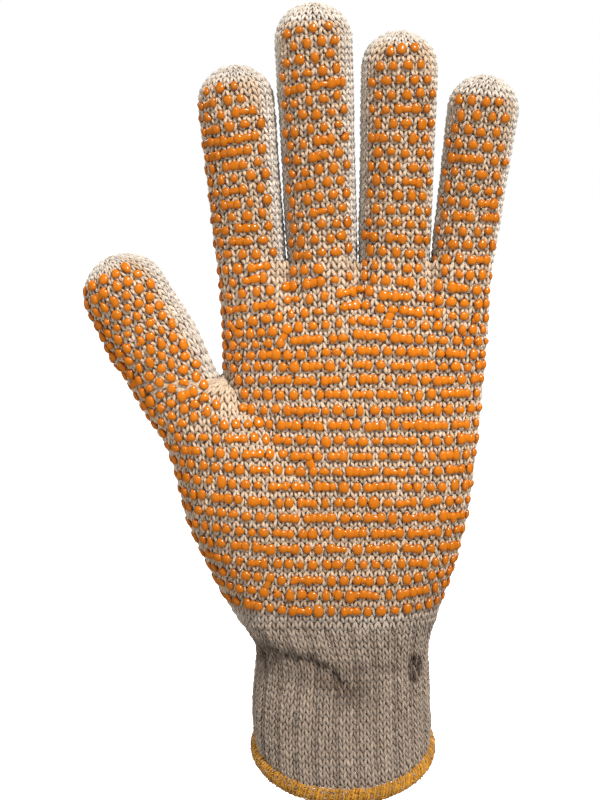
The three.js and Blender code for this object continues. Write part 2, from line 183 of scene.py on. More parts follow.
def palmHalfDepths(x, up, inset):
    left, right, front, back = sectionOf(palmTable, up, palmWidth, glove["palmDepth"], inset)
    share = (x - (left + right) / 2) / ((right - left) / 2)
    form = roundness(np.clip(share, -1, 1), glove["palmSquareness"])
    knuckle = float(smoothStep(ringForm["knuckleFrom"], 1, up))
    atTop = palmWidth * palmTable["left"][-1] + palmWidth * (share + 1) / 2
    power = ringForm["lobePower"]
    lobes = np.full(len(x), (glove["crotchWeb"] / 2 - inset) ** power)
    for i, finger in enumerate(fingers):
        across = (atTop - fingerCentre(i)) / (finger["baseWidth"] / 2)
        half = fingerBaseDepth(finger) / 2 - inset
        lobes += (half * roundness(np.clip(across, -1, 1), glove["roundSquareness"])) ** power
    lobes = lobes ** (1 / power) * (1 - smoothStep(ringForm["lobeEdge"], 1.0, np.abs(share)))
    cap = ringForm["lobeCap"]
    mixed = [d * form * (1 - knuckle) + np.minimum(lobes, d * cap) * knuckle for d in (front, back)]
    return [np.where(np.abs(share) <= 1, m, nowhere) for m in mixed]


def thenarHalfDepth(x, up, inset):
    left = -tableValue(thenarTable, "up", "outer", up) * glove["thenarReach"] + inset
    right = -tableValue(thenarTable, "up", "inner", up) * glove["thenarReach"] - inset
    half = tableValue(thenarTable, "up", "depth", up) * glove["thenarDepth"] / 2 - inset
    share = (x - (left + right) / 2) / ((right - left) / 2)
    form = half * roundness(np.clip(share, -1, 1), glove["roundSquareness"])
    return np.where(np.abs(share) <= 1, form, nowhere)


def withBall(depth, ball, lean):
    # The palm's half depth grown by the ball of the thumb, which stands lean further out on this side.
    return softMax(depth, np.where(ball > nowhere / 2, ball + lean, ball), ringForm["blend"])


def palmRing(z, inset, withThumb):
    up = (z - glove["cuffHeight"]) / glove["palmHeight"]
    left, right, _, _ = sectionOf(palmTable, up, palmWidth, glove["palmDepth"], inset)
    forward = 0.0
    if withThumb:
        thumbUp = min((z - glove["cuffHeight"]) / glove["thumbCrotchHeight"], 1.0)
        left = min(left, -tableValue(thenarTable, "up", "outer", thumbUp) * glove["thenarReach"] + inset)
        forward = tableValue(thenarTable, "up", "forward", thumbUp) * glove["cuffDepth"]
    turn = np.linspace(0, np.pi, ringForm["samples"])
    x = (left + right) / 2 + (right - left) / 2 * np.cos(turn)
    front, back = palmHalfDepths(x, up, inset)
    if withThumb:
        ball = thenarHalfDepth(x, thumbUp, inset)
        front, back = withBall(front, ball, forward), withBall(back, ball, -forward)
    elif z < thumbLevel + ringForm["ballAbove"]:
        # Just above the thumb the ball of the hand still shows, so that no step runs across the palm
        lean = thenarTable["forward"][-1] * glove["cuffDepth"]
        ball = thenarHalfDepth(x, 1.0, inset)
        share = float(smoothStep(thumbLevel + ringForm["ballAbove"], thumbLevel, z))
        share = share * smoothStep(left, left + ringForm["ballSide"], x)
        front = front + share * (withBall(front, ball, lean) - front)
        back = back + share * (withBall(back, ball, -lean) - back)
    ends = np.minimum(1, np.minimum(turn, np.pi - turn) / ringForm["ends"])
    front = np.maximum(front, ringForm["slack"]) * ends
    back = np.maximum(back, ringForm["slack"]) * ends
    middle = -forward * smoothStep(-20, -40, x) * (1 - ends)
    return evenRing(np.stack([x, -front + middle], 1), np.stack([x, back + middle], 1), z)


def hemLevel(y):
    share = (y + glove["cuffDepth"] / 2) / glove["cuffDepth"]
    side, back = glove["hemSideRise"], glove["hemBackRise"]
    return (4 * side - back) * share + (2 * back - 4 * side) * share ** 2


creaseLine = dict(
    x=[-30.0, -25.6, -16.1, -9.8, -5.4, -3.5, 0.5, 5.4],
    z=[49.6, 48.7, 46.3, 45.0, 43.1, 41.6, 37.8, 34.5],
)


def foldPlace(x):
    # Height of the slanting crease over the front of the cuff, and how strongly it shows.
    line = np.interp(x, creaseLine["x"], creaseLine["z"]) + 0.45 * np.sin(x * 1.1) + 0.3 * np.sin(x * 2.3)
    fade = smoothStep(-31, -26, x) * (1 - smoothStep(-6, 6, x))
    return line, fade


def dimplePlace(x, z):
    away = np.hypot(x - glove["cuffWidth"] * 0.394, z - glove["cuffHeight"] * 0.745)
    return np.exp(-(away / glove["dimpleRadius"]) ** 2)


def pressedIn(x, z):
    line, fade = foldPlace(x)
    away = (z - line) / glove["foldWidth"]
    groove = glove["foldDepth"] * fade * (np.exp(-away ** 2) - 0.35 * np.exp(-((away - 1.9) ** 2)))
    return groove + glove["dimpleDepth"] * dimplePlace(x, z)


def cuffRing(up, inset):
    left, right, front, back = sectionOf(cuffTable, up, glove["cuffWidth"], glove["cuffDepth"], inset)
    ring, lengths = ovalRing((left + right) / 2, (right - left) / 2, front, back, ringForm["samples"])
    bottom = hemLevel(ring[:, 1]) + glove["hemHeight"] + glove["seatGap"]
    ring[:, 2] = bottom + (glove["cuffHeight"] - bottom) * up
    depth = np.where(ring[:, 1] < 0, front, back)
    facing = np.maximum(-ring[:, 1] / depth, 0) ** 0.7
    ring[:, 1] += pressedIn(ring[:, 0], ring[:, 2]) * facing
    return ring, lengths


def wristRing(up, inset):
    # The cuff's ring, eased into the palm's lowest ring so that the cloth runs on without a step.
    ring, lengths = cuffRing(up, inset)
    share = float(smoothStep(0.62, 1.0, up))
    if share > 0:
        ring = ring + share * (palmRing(glove["cuffHeight"], inset, True)[0] - cuffRing(1.0, inset)[0])
        steps = np.linalg.norm(np.roll(ring, -1, 0) - ring, axis=1)
        lengths = steps[:ringColumns // 2].sum(), steps[ringColumns // 2:].sum()
    return ring, lengths


def stallBase(stall):
    if stall is thumb:
        left = -thenarTable["outer"][-1] * glove["thenarReach"]
        edgeUp = glove["thumbCrotchHeight"] / glove["palmHeight"]
        right = palmWidth * tableValue(palmTable, "up", "left", edgeUp) - 2 * glove["seatGap"]
        y = -thenarTable["forward"][-1] * glove["cuffDepth"]
        depth = thenarTable["depth"][-1] * glove["thenarDepth"]
        return dict(x=(left + right) / 2, y=y, z=thumbLevel, width=right - left, depth=depth)
    i = fingers.index(stall)
    depth = fingerBaseDepth(stall)
    return dict(x=fingerCentre(i), y=0.0, z=crotchLevel, width=stall["baseWidth"], depth=depth)


def stallRing(stall, distance, inset):
    base = stallBase(stall)
    lean = math.radians(stall["lean"])
    dome = stall["width"] * glove["tipRound"]
    straight = stall["length"] - dome
    along = min(distance / straight, 1.0)
    width = base["width"] + (stall["width"] - base["width"]) * tableValue(stallTable, "along", "width", along)
    depth = base["depth"] + (stall["depth"] - base["depth"]) * tableValue(stallTable, "along", "depth", along)
    past = max(distance - straight, 0.0) / (dome - inset)
    shrink = math.sqrt(max(1 - min(past, 1.0) ** 2, 0.0))
    tilt = lean * float(smoothStep(0, ringForm["tiltBy"], along))
    halfWidth = (width / 2 - inset) * shrink
    halfDepth = (depth / 2 - inset) * shrink
    centre = np.array([
        base["x"] + math.sin(lean) * distance,
        base["y"] - stall["curl"] * (max(distance, 0.0) / stall["length"]) ** ringForm["curlPower"],
        base["z"] + math.cos(lean) * distance,
    ])
    ring, lengths = ovalRing(0.0, halfWidth, halfDepth, halfDepth, ringForm["stallSamples"])
    placed = np.empty_like(ring)
    placed[:, 0] = centre[0] + math.cos(tilt) * ring[:, 0]
    placed[:, 1] = centre[1] + ring[:, 1]
    placed[:, 2] = centre[2] - math.sin(tilt) * ring[:, 0]
    return placed, lengths


class Tube:
    # A knitted tube as a grid of rings, with the place of each row along it.
    def __init__(self, ringAt, places):
        made = [ringAt(place) for place in places]
        self.points = np.array([m[0] for m in made])
        self.fronts = np.array([m[1][0] for m in made])
        self.backs = np.array([m[1][1] for m in made])
        self.places = np.asarray(places, dtype=float)
        across = np.roll(self.points, -1, 1) - np.roll(self.points, 1, 1)
        along = np.gradient(self.points, axis=0)
        normals = np.cross(along, across)
        self.normals = normals / np.maximum(np.linalg.norm(normals, axis=2, keepdims=True), 1e-9)
        self.index = np.arange(len(self.places))

    def rowOf(self, place):
        return np.interp(place, self.places, self.index)

    def placeOf(self, row):
        return np.interp(row, self.index, self.places)

    def read(self, grid, row, column):
        rows, columns = grid.shape[:2]
        row = np.clip(row, 0, rows - 1.0001)
        r = np.floor(row).astype(int)
        column = np.mod(column, columns)
        c = np.floor(column).astype(int) % columns
        pastRow = (row - r)[..., None]
        past = (column - np.floor(column))[..., None]
        after = (c + 1) % columns
        low = grid[r, c] * (1 - past) + grid[r, after] * past
        high = grid[r + 1, c] * (1 - past) + grid[r + 1, after] * past
        return low * (1 - pastRow) + high * pastRow

    def at(self, row, column):
        return self.read(self.points, row, column), unit(self.read(self.normals, row, column))


print("stage: forms")
clothInset = 0.95  # depth of the yarn's middle under the glove's outer face
overrun = 3.0  # how far each grid runs past its ends, so that the last loops lie under the next tube's first
cuffTube = Tube(lambda up: wristRing(up, clothInset), np.linspace(-0.06, 1.06, 68))
lowLevels = np.linspace(glove["cuffHeight"] - overrun, thumbLevel + overrun, 96)
highLevels = np.linspace(thumbLevel - overrun, crotchLevel + overrun, 50)
lowTube = Tube(lambda z: palmRing(z, clothInset, True), lowLevels)
highTube = Tube(lambda z: palmRing(z, clothInset, False), highLevels)


def stallPlaces(stall, inset, rows):
    dome = stall["width"] * glove["tipRound"] - inset
    straight = stall["length"] - stall["width"] * glove["tipRound"]
    turn = np.linspace(0, math.pi / 2, rows // 2)[1:]
    below = [] if inset > 1 else [-overrun, -overrun / 2]
    return np.concatenate([below, np.linspace(0, straight, rows), straight + dome * np.sin(turn)])


stallTubes = {}
for stall in fingers + [thumb]:
    places = stallPlaces(stall, clothInset, 40)
    stallTubes[stall["name"]] = Tube(lambda d, stall=stall: stallRing(stall, d, clothInset), places)


# Meshes from arrays

def makeMesh(name, points, faces, attributes=None, smooth=True):
    mesh = bpy.data.meshes.new(name)
    points = np.asarray(points, dtype=np.float32).reshape(-1, 3) * mm
    quads = np.asarray(faces.get("quads", []), dtype=np.int32).reshape(-1, 4)
    tris = np.asarray(faces.get("tris", []), dtype=np.int32).reshape(-1, 3)
    loops = np.concatenate([quads.ravel(), tris.ravel()])
    sizes = np.concatenate([np.full(len(quads), 4), np.full(len(tris), 3)]).astype(np.int32)
    mesh.vertices.add(len(points))
    mesh.vertices.foreach_set("co", points.ravel())
    mesh.loops.add(len(loops))
    mesh.loops.foreach_set("vertex_index", loops)
    mesh.polygons.add(len(sizes))
    mesh.polygons.foreach_set("loop_start", np.concatenate([[0], np.cumsum(sizes)[:-1]]).astype(np.int32))
    mesh.polygons.foreach_set("loop_total", sizes)
    mesh.polygons.foreach_set("use_smooth", np.full(len(sizes), smooth))
    mesh.update(calc_edges=True)
    for key, values in (attributes or {}).items():
        values = np.asarray(values, dtype=np.float32)
        kind = "FLOAT" if values.ndim == 1 else "FLOAT_VECTOR"
        field = "value" if values.ndim == 1 else "vector"
        mesh.attributes.new(key, kind, "POINT").data.foreach_set(field, values.ravel())
    piece = bpy.data.objects.new(name, mesh)
    bpy.context.scene.collection.objects.link(piece)
    return piece


def ringBand(rows, columns, closed=False, flip=False):
    # Quads between neighbouring rings of a grid. closed joins the last ring to the first.
    below = np.arange(rows if closed else rows - 1)[:, None] * columns
    above = (below + columns) % (rows * columns)
    here = np.arange(columns)[None, :]
    after = (here + 1) % columns
    corners = [below + here, above + here, above + after, below + after]
    if flip:
        corners = corners[:1] + corners[:0:-1]
    return np.stack(np.broadcast_arrays(*corners), -1).reshape(-1, 4)


def endFan(sides):
    # Triangles that close the first ring of a tube.
    return np.array([[0, j + 1, j] for j in range(1, sides - 1)])


def forEach(faces, count, size):
    # The same faces for each of count parts that have size points.
    start = (np.arange(count) * size)[:, None, None]
    return (faces[None] + start).reshape(-1, faces.shape[1])


def joinParts(parts):
    # Points, faces and point values of several parts as those of one mesh.
    starts = np.cumsum([0] + [len(part[0]) for part in parts[:-1]])
    quads, tris = (np.concatenate([part[k] + start for part, start in zip(parts, starts)]) for k in (1, 2))
    points, values = (np.concatenate([part[k] for part in parts]) for k in (0, 3))
    return points, dict(quads=quads, tris=tris), values


def gridShell(name, outer, inner):
    # A closed shell between an outer and an inner stack of rings, open at both ends or closed at a tip.
    rings = np.concatenate([outer, inner[::-1]])
    return makeMesh(name, rings, dict(quads=ringBand(*rings.shape[:2], closed=True)))


# Yarn: each stitch is two plump legs that come out over the loop below and dive under the one above.
# across and along are shares of the stitch's width and height, lift is in millimetres.
yarn = dict(
    across=[0.03, 0.11, 0.25, 0.38, 0.42],
    along=[-0.55, -0.22, 0.24, 0.74, 1.05],
    lift=[-0.35, 0.32, 0.42, 0.04, -0.5],
    plump=[0.0, 0.93, 1.0, 0.84, 0.0],
    halfWidth=0.21, halfThickness=0.46, sides=5, jitter=0.05, jitterAcross=0.6, liftJitter=0.06,
    uneven=0.11, wave=0.14, ownShade=0.6, patchy=(0.45, 1.3),
    ribDepth=0.36, ribWide=1.02, ribThick=0.8, ribTall=1.14, ribSoft=0.13, ribRecessShade=1.3,
)


def pointedTubes(path, sideways, upward, wide, thick):
    # Tubes along many paths: a point at each end and a ring of sides at every station between.
    sides = yarn["sides"]
    turn = math.pi / 2 + 2 * math.pi * np.arange(sides) / sides
    inner = path.shape[1] - 2
    ring = (
        path[:, 1:-1, None]
        + sideways[:, 1:-1, None] * (wide[:, 1:-1, None] * np.cos(turn))[..., None]
        + upward[:, 1:-1, None] * (thick[:, 1:-1, None] * np.sin(turn))[..., None]
    )
    vertices = np.concatenate([ring.reshape(len(path), -1, 3), path[:, :1], path[:, -1:]], 1)
    low, high, last = inner * sides, inner * sides + 1, (inner - 1) * sides
    j = np.arange(sides)
    after = (j + 1) % sides
    capLow = np.stack([np.full(sides, low), j, after], 1)
    capHigh = np.stack([np.full(sides, high), last + after, last + j], 1)
    quads = forEach(ringBand(inner, sides), *vertices.shape[:2])
    tris = forEach(np.concatenate([capLow, capHigh]), *vertices.shape[:2])
    around = np.concatenate([np.tile(np.cos(turn), inner), [0, 0]])
    place = np.linspace(0, 1, inner + 2)
    lengthwise = np.concatenate([np.repeat(place[1:-1], sides), [0, 1]])
    return vertices, dict(quads=quads, tris=tris), lengthwise, around


def knit(name, tube, courses, columnAt, soilAndShadeAt=None, ribbed=False, printAt=None):
    # courses holds each stitch's row, wale, height in rows, and its course's count of wales.
    # columnAt finds the column of a wale on any row. On the ribbed cuff every third wale lies deeper and is
    # painted darker as the shade in its recess.
    rows, wales, heights, counts = courses
    count = len(rows)
    wobble = rng.normal(0, yarn["jitter"], (count, 2, 2))
    swell = 1 + rng.normal(0, yarn["uneven"], (count, 2))
    shade = rng.random((count, 2)) * yarn["ownShade"] + rng.random((count, 1)) * (1 - yarn["ownShade"])
    across, along, lift, plump = (np.array(yarn[key]) for key in ("across", "along", "lift", "plump"))
    side = np.array([-1.0, 1.0])
    counts = counts[:, None, None]
    spread = side[None, :, None] * across[None, None, :] + wobble[:, :, :1] * yarn["jitterAcross"]
    rise = along[None, None, :] + wobble[:, :, 1:]
    wave = yarn["wave"] * np.sin(wales * 0.29 + rows / 3.1) * np.sin(wales * 0.11 - rows / 5.7)
    rise = rise + wave[:, None, None]
    if ribbed:
        rise = rise * yarn["ribTall"]
    row = rows[:, None, None] + rise * heights[:, None, None]
    point, normal = tube.at(row, columnAt(row, wales[:, None, None] + spread, counts))
    point = point + normal * (lift[None, None, :, None] + rng.normal(0, yarn["liftJitter"], (count, 2, 1, 1)))
    if ribbed:
        deep = np.where(np.floor(wales) % 3 == 1, yarn["ribDepth"], 0.0)
        point = point - normal * deep[:, None, None, None]
        # Painted shade in the recessed wales
        shade = shade - deep[:, None] * yarn["ribRecessShade"]
    tangent = unit(np.gradient(point, axis=2))
    sideways = unit(np.cross(tangent, normal))
    upward = np.cross(sideways, tangent)
    ends = [tube.at(rows, columnAt(rows, wales + half, counts[:, 0, 0]))[0] for half in (-0.5, 0.5)]
    size = np.linalg.norm(ends[1] - ends[0], axis=-1)
    wide = (size * yarn["halfWidth"])[:, None, None] * swell[:, :, None] * plump
    thick = yarn["halfThickness"] * swell[:, :, None] * plump
    if ribbed:
        wide, thick = wide * yarn["ribWide"], thick * yarn["ribThick"]
    legs = [part.reshape(count * 2, len(plump), -1) for part in (point, sideways, upward)]
    flat = [part.reshape(count * 2, len(plump)) for part in (wide, thick)]
    vertices, faces, lengthwise, around = pointedTubes(*legs, *flat)
    # On the cuff the painted shade at the ends of each leg is softer
    if ribbed:
        lengthwise = yarn["ribSoft"] + (1 - 2 * yarn["ribSoft"]) * lengthwise
    strand = np.stack(np.broadcast_arrays(lengthwise[None], around[None], shade.reshape(-1, 1)), -1)
    vertices = vertices.reshape(-1, 3)
    broken = np.repeat(rng.uniform(*yarn["patchy"], count * 2), len(lengthwise))
    soilAndShade = np.clip(soilAndShadeAt(vertices) * broken, 0, 1) if soilAndShadeAt else np.zeros(len(vertices))
    printed = np.ones(count) if printAt is None else printAt(rows, columnAt(rows, wales, counts[:, 0, 0]))
    printed = np.repeat(printed, 2 * len(lengthwise))
    piece = makeMesh(name, vertices, faces, dict(strand=strand.reshape(-1, 3), soilAndShade=soilAndShade, printed=printed))
    print("  ", name, count, "stitches", len(faces["quads"]) * 2 + len(faces["tris"]), "triangles")
    return piece


# Layout of stitches on a tube
gauge = dict(
    palmCourses=50, stallStart=0.9, knuckles=146.0, widestUp=128.0, cuffCourse=2.15, fingerCourse=2.06,
    palmWale=2.9, fingerWale=2.8, waleShare=0.5, tightest=0.42, easing=7.0, lowest=0.2,
)


def lengthAt(tube, row):
    return np.interp(row, tube.index, tube.fronts), np.interp(row, tube.index, tube.backs)


def waleColumns(tube, pitchAt, isBack):
    # Wales are counted from the right edge, and the last few before the left edge stretch to fill the length.
    def columnAt(row, wale, count):
        length = lengthAt(tube, row)[1 if isBack else 0]
        pitch = pitchAt(tube, row)
        spare = length - count * pitch
        along = wale * pitch + spare * smoothStep(count - gauge["easing"], count, wale)
        column = along / length * ringColumns / 2
        return ringColumns - column if isBack else column
    return columnAt


def layCourse(laid, row, count, height):
    # One course: each stitch's row, wale and height in rows, and the course's count of wales.
    row, height, wales = (np.full(count, value) for value in (row, height, float(count)))
    laid.append((row, np.arange(count) + 0.5, height, wales))


def allCourses(laid):
    return [np.concatenate(part) for part in zip(*laid)]


def coursesOf(tube, places, pitchAt, isBack):
    laid = []
    for place, above in zip(places[:-1], places[1:]):
        row = float(tube.rowOf(place))
        count = max(round(float(lengthAt(tube, row)[1 if isBack else 0] / pitchAt(tube, row))), 1)
        layCourse(laid, row, count, float(tube.rowOf(above)) - row)
    return allCourses(laid)


# Dirt and painted shade on the cuff: how strong each place is, and where it lies in millimetres
soilAndShadePlaces = dict(
    # Partly dirt, partly painted shade along the crease
    crease=dict(share=1.25, tall=1.05),
    under=dict(share=0.52, below=3.6, tall=4.2),
    band=dict(share=0.55, z=43.6, slope=0.07, tall=1.7),
    # Painted shadow at the crease's left end
    cornerShadow=dict(share=0.72, x=-26.0, z=45.5, wide=5.0, tall=6.0),
    # Painted shade round the crease's right end
    patch=dict(share=0.6, x=3.0, z=36.0, wide=7.0, tall=5.0),
    mark=dict(share=0.85, x=22.7, z=41.4, wide=2.3, tall=4.5, rim=0.25, rimWide=0.35),
)


def ovalAway(place, x, z):
    # Nought in the middle of an oval place, one on its edge.
    return ((x - place["x"]) / place["wide"]) ** 2 + ((z - place["z"]) / place["tall"]) ** 2


def soilAndShadeOn(points):
    # The darker line along the crease, partly dirt and partly painted shade, a darker strip below it, a faint
    # darker band to its right, painted shadow at its left end, painted shade round its right end, and the
    # oval dirt mark at the right of the cuff.
    x, y, z = points.T
    line, fade = foldPlace(x)
    under, band, mark = (soilAndShadePlaces[key] for key in ("under", "band", "mark"))
    patchy = 0.6 + 0.4 * np.sin(x * 1.7 + np.sin(x * 0.6))
    bandAway = (z - band["z"] + band["slope"] * x) / band["tall"]
    smudgesAndShade = dict(
        # Partly dirt and partly painted shade along the crease line
        crease=np.exp(-((z - line) / soilAndShadePlaces["crease"]["tall"]) ** 2) * fade * patchy,
        under=np.exp(-((z - line + under["below"]) / under["tall"]) ** 2) * fade * smoothStep(-24, -10, x),
        band=np.exp(-bandAway ** 2) * smoothStep(-6, 2, x) * smoothStep(21, 16, x),
        # Painted shadow at the crease's left end
        cornerShadow=np.exp(-ovalAway(soilAndShadePlaces["cornerShadow"], x, z)),
        # Painted shade round the crease's right end
        patch=np.exp(-ovalAway(soilAndShadePlaces["patch"], x, z)),
    )
    oval = ovalAway(mark, x, z)
    soilAndShade = mark["share"] * smoothStep(1.5, 0.8, oval)
    soilAndShade = soilAndShade + mark["rim"] * np.exp(-((oval - 1) / mark["rimWide"]) ** 2)
    for label, smudge in smudgesAndShade.items():
        soilAndShade = soilAndShade + soilAndShadePlaces[label]["share"] * smudge
    return np.clip(soilAndShade * smoothStep(4, -6, y), 0, 1)


print("stage: stitches")
pieces = {}
cuffTop = float(lengthAt(cuffTube, cuffTube.rowOf(1))[0])
fullFront = float(lengthAt(lowTube, lowTube.rowOf(thumbLevel))[0])


def palmPitch(tube, row):
    # The stitches widen up to the ball of the thumb, and again with the cloth in the knuckles.
    z = tube.placeOf(row)
    share = lengthAt(lowTube, lowTube.rowOf(np.minimum(z, gauge["widestUp"])))[0] / fullFront
    top = lengthAt(tube, tube.rowOf(gauge["knuckles"]))[0]
    widened = np.where(z > gauge["knuckles"], lengthAt(tube, row)[0] / top, 1.0)
    return gauge["palmWale"] * (1 - gauge["waleShare"] + gauge["waleShare"] * share) * widened


cuffCount = round(cuffTop / float(palmPitch(lowTube, lowTube.rowOf(glove["cuffHeight"]))))


def cuffPitch(tube, row):
    return lengthAt(tube, row)[0] / cuffCount


# One more place than there are courses: the last only gives the height of the course below it
palmCourses = np.linspace(glove["cuffHeight"], crotchLevel + gauge["stallStart"], gauge["palmCourses"] + 1)
switch = int(np.sum(palmCourses < thumbLevel))
cuffCourses = int((glove["cuffHeight"] - glove["hemHeight"]) / gauge["cuffCourse"])
for side, isBack in (("front", False), ("back", True)):
    for label, tube, places, pitchAt in (
        ("palm", lowTube, palmCourses[:switch + 1], palmPitch),
        ("knuckles", highTube, palmCourses[switch:], palmPitch),
        ("cuff", cuffTube, np.linspace(-0.01, 1.0, cuffCourses + 1), cuffPitch),
    ):
        name = "knit_" + label + "_" + side
        courses = coursesOf(tube, places, pitchAt, isBack)
        columnAt = waleColumns(tube, pitchAt, isBack)
        pieces[name] = knit(name, tube, courses, columnAt, soilAndShadeOn, ribbed=label == "cuff")


def aroundStall(row, wale, count):
    return wale / count * ringColumns


# The print on each finger: right and left edge as shares of its front, bare tip, how far its rows fall
# to the left at the tip and at the base, and its two pitches
prints = dict(
    index_finger=dict(right=0.27, left=0.95, bare=7.4, tipFall=1.6, baseFall=1.4, row=4.12, pitch=4.5),
    middle_finger=dict(right=0.24, left=0.84, bare=9.0, tipFall=2.6, baseFall=2.8, row=4.3, pitch=4.2),
    ring_finger=dict(right=0.15, left=0.80, bare=6.6, tipFall=2.8, baseFall=-2.2, row=4.3, pitch=4.15),
    little_finger=dict(right=0.2, left=0.87, bare=8.8, tipFall=1.0, baseFall=0.2, row=4.3, pitch=4.15),
)
thumbPrint = dict(
    bare=6.0, edge=0.22, right=9.6, left=-18.6, bend=13.2, rows=24, middle=1.2, droop=0.0035, narrow=1.6,
    lowLeft=112.7, lowSlope=0.466, lowX=-57.8, lowRight=-37.0, seenWithin=0.4,
)


def printOn(stall, tube):
    # How far a stitch of a finger lies inside its print. The bare tip and sides stay out of the print's
    # darker, warmer tint.
    own = prints.get(stall["name"], dict(right=thumbPrint["edge"], left=1.0, bare=thumbPrint["bare"]))
    end = stall["length"] - own["bare"]

    def shareAt(row, column):
        distance = tube.placeOf(row)
        across = column / ringColumns * 2
        inside = smoothStep(own["right"] - 0.08, own["right"] + 0.04, across)
        inside = inside * smoothStep(own["left"] + 0.08, own["left"] - 0.04, across)
        return inside * smoothStep(end + 3, end, distance)
    return shareAt


def stallCourses(stall, tube):
    start = gauge["stallStart"] if stall is not thumb else palmCourses[switch] - thumbLevel
    count = round((tube.fronts[0] + tube.backs[0]) / gauge["fingerWale"] / 4) * 4
    steps = np.linalg.norm(np.diff(tube.points[:, ringColumns // 4], axis=0), axis=1)
    run = np.concatenate([[0], np.cumsum(steps)]) - overrun
    laid = []
    for at in np.arange(start, run[-1] - 1.0, gauge["fingerCourse"]):
        row, above = np.interp([at, at + gauge["fingerCourse"]], run, np.arange(len(run)))
        while float(sum(lengthAt(tube, row))) / count < gauge["fingerWale"] * gauge["tightest"] and count > 4:
            count //= 2
        layCourse(laid, row, count, max(above - row, gauge["lowest"]))
    return allCourses(laid)


for stall in fingers + [thumb]:
    tube = stallTubes[stall["name"]]
    name = "knit_" + stall["name"]
    pieces[name] = knit(name, tube, stallCourses(stall, tube), aroundStall, printAt=printOn(stall, tube))


# Backing cloth: the inner loops of the knit, seen between the legs and through the wrist opening, coloured
# darker than the yarn as painted shade in the gaps between the legs
print("stage: backing")
backing = dict(outer=1.5, inner=2.0, every=3, below=0.3, stallRows=14)


def backingShell(name, ringAt, outerPlaces, innerPlaces=None):
    stacks = []
    innerPlaces = outerPlaces if innerPlaces is None else innerPlaces
    for layer, places in (("outer", outerPlaces), ("inner", innerPlaces)):
        stacks.append(np.array([ringAt(place, backing[layer])[0][::backing["every"]] for place in places]))
    return gridShell(name, *stacks)


pieces["backing_cuff"] = backingShell("backing_cuff", wristRing, np.linspace(0, 1, 26))
for name, withThumb, places in (
    ("backing_palm", True, np.linspace(glove["cuffHeight"], thumbLevel - backing["below"], 36)),
    ("backing_knuckles", False, np.linspace(thumbLevel - 1, crotchLevel, 16)),
):
    pieces[name] = backingShell(name, lambda z, inset: palmRing(z, inset, withThumb), places)
for stall in fingers + [thumb]:
    layers = [stallPlaces(stall, backing[layer], backing["stallRows"]) for layer in ("outer", "inner")]
    name = "backing_" + stall["name"]
    pieces[name] = backingShell(name, lambda d, inset: stallRing(stall, d, inset), *layers)


# Grip dots: beads of PVC in staggered rows, many of them run together
print("stage: dots")
dot = dict(
    across=1.5, along=1.64, height=1.0, seat=-0.6, sides=10, uneven=0.12, shift=0.27, drip=0.16, sag=0.14,
    spill=0.012, spillRight=18.0, longChain=0.3, longestRun=5.6, apart=3.2,
    rowPitch=4.8, pitch=3.88, thumbRow=3.6, thumbPitch=3.9, lumps=0.45, edgeHeight=0.28,
    radii=[0.84, 1.0, 0.9, 0.55], heights=[0.0, 0.34, 0.72, 0.95],
)


def bead(points, normals, acrossDirs, across, along, height):
    # Rounded beads at points. across and along are half sizes in millimetres.
    count = len(points)
    alongDirs = np.cross(normals, acrossDirs)
    turn = 2 * math.pi * np.arange(dot["sides"]) / dot["sides"]
    radii, levels = np.array(dot["radii"]), np.array(dot["heights"])
    reach = radii[None, :, None] * np.stack([np.cos(turn), np.sin(turn)])[:, None, :]
    lump = 1 + rng.normal(0, 0.05, (count, len(turn)))
    drip = rng.normal(dot["drip"], 0.1, (count, 1, 1))
    flatA = across[:, None, None] * reach[0][None] * lump[:, None, :] * (1 - drip * np.sin(turn)[None, None])
    flatB = along[:, None, None] * reach[1][None] * lump[:, None, :]
    up = dot["seat"] + levels[None, :, None] * (height - dot["seat"])[:, None, None]
    ring = (
        points[:, None, None] + acrossDirs[:, None, None] * flatA[..., None]
        + alongDirs[:, None, None] * flatB[..., None] + normals[:, None, None] * up[..., None]
    )
    apex = points + normals * height[:, None] - alongDirs * (along * dot["sag"])[:, None]
    sides = dot["sides"]
    vertices = np.concatenate([ring.reshape(count, -1, 3), apex[:, None]], 1)
    size = vertices.shape[1]
    top = size - 1 - sides
    cap = np.array([[top + j, top + (j + 1) % sides, size - 1] for j in range(sides)])
    quads = forEach(ringBand(len(levels), sides, flip=True), count, size)
    tris = forEach(np.concatenate([cap, endFan(sides)]), count, size)
    crown = np.tile(np.concatenate([np.repeat(levels, sides), [1.0]]), count)
    return vertices.reshape(-1, 3), quads, tris, crown


def surfaceAt(tube, row, column):
    point, normal = tube.at(row, column)
    right, _ = tube.at(row, column - 0.8)
    left, _ = tube.at(row, column + 0.8)
    across = right - left
    across -= normal * np.sum(across * normal, -1, keepdims=True)
    return point + normal * clothInset, normal, unit(across)


def spotPlace(spot):
    # Point, normal and direction across for one dot.
    found = surfaceAt(spot["tube"], np.array([spot["row"]]), np.array([spot["column"]]))
    return [part[0] for part in found]


def columnOf(tube, row, s):
    # Column at a length s along a ring, from its right edge over the front and on to the back.
    front, back = lengthAt(tube, row)
    half = ringColumns / 2
    return np.where(s <= front, s / front * half, half + (s - front) / back * half)


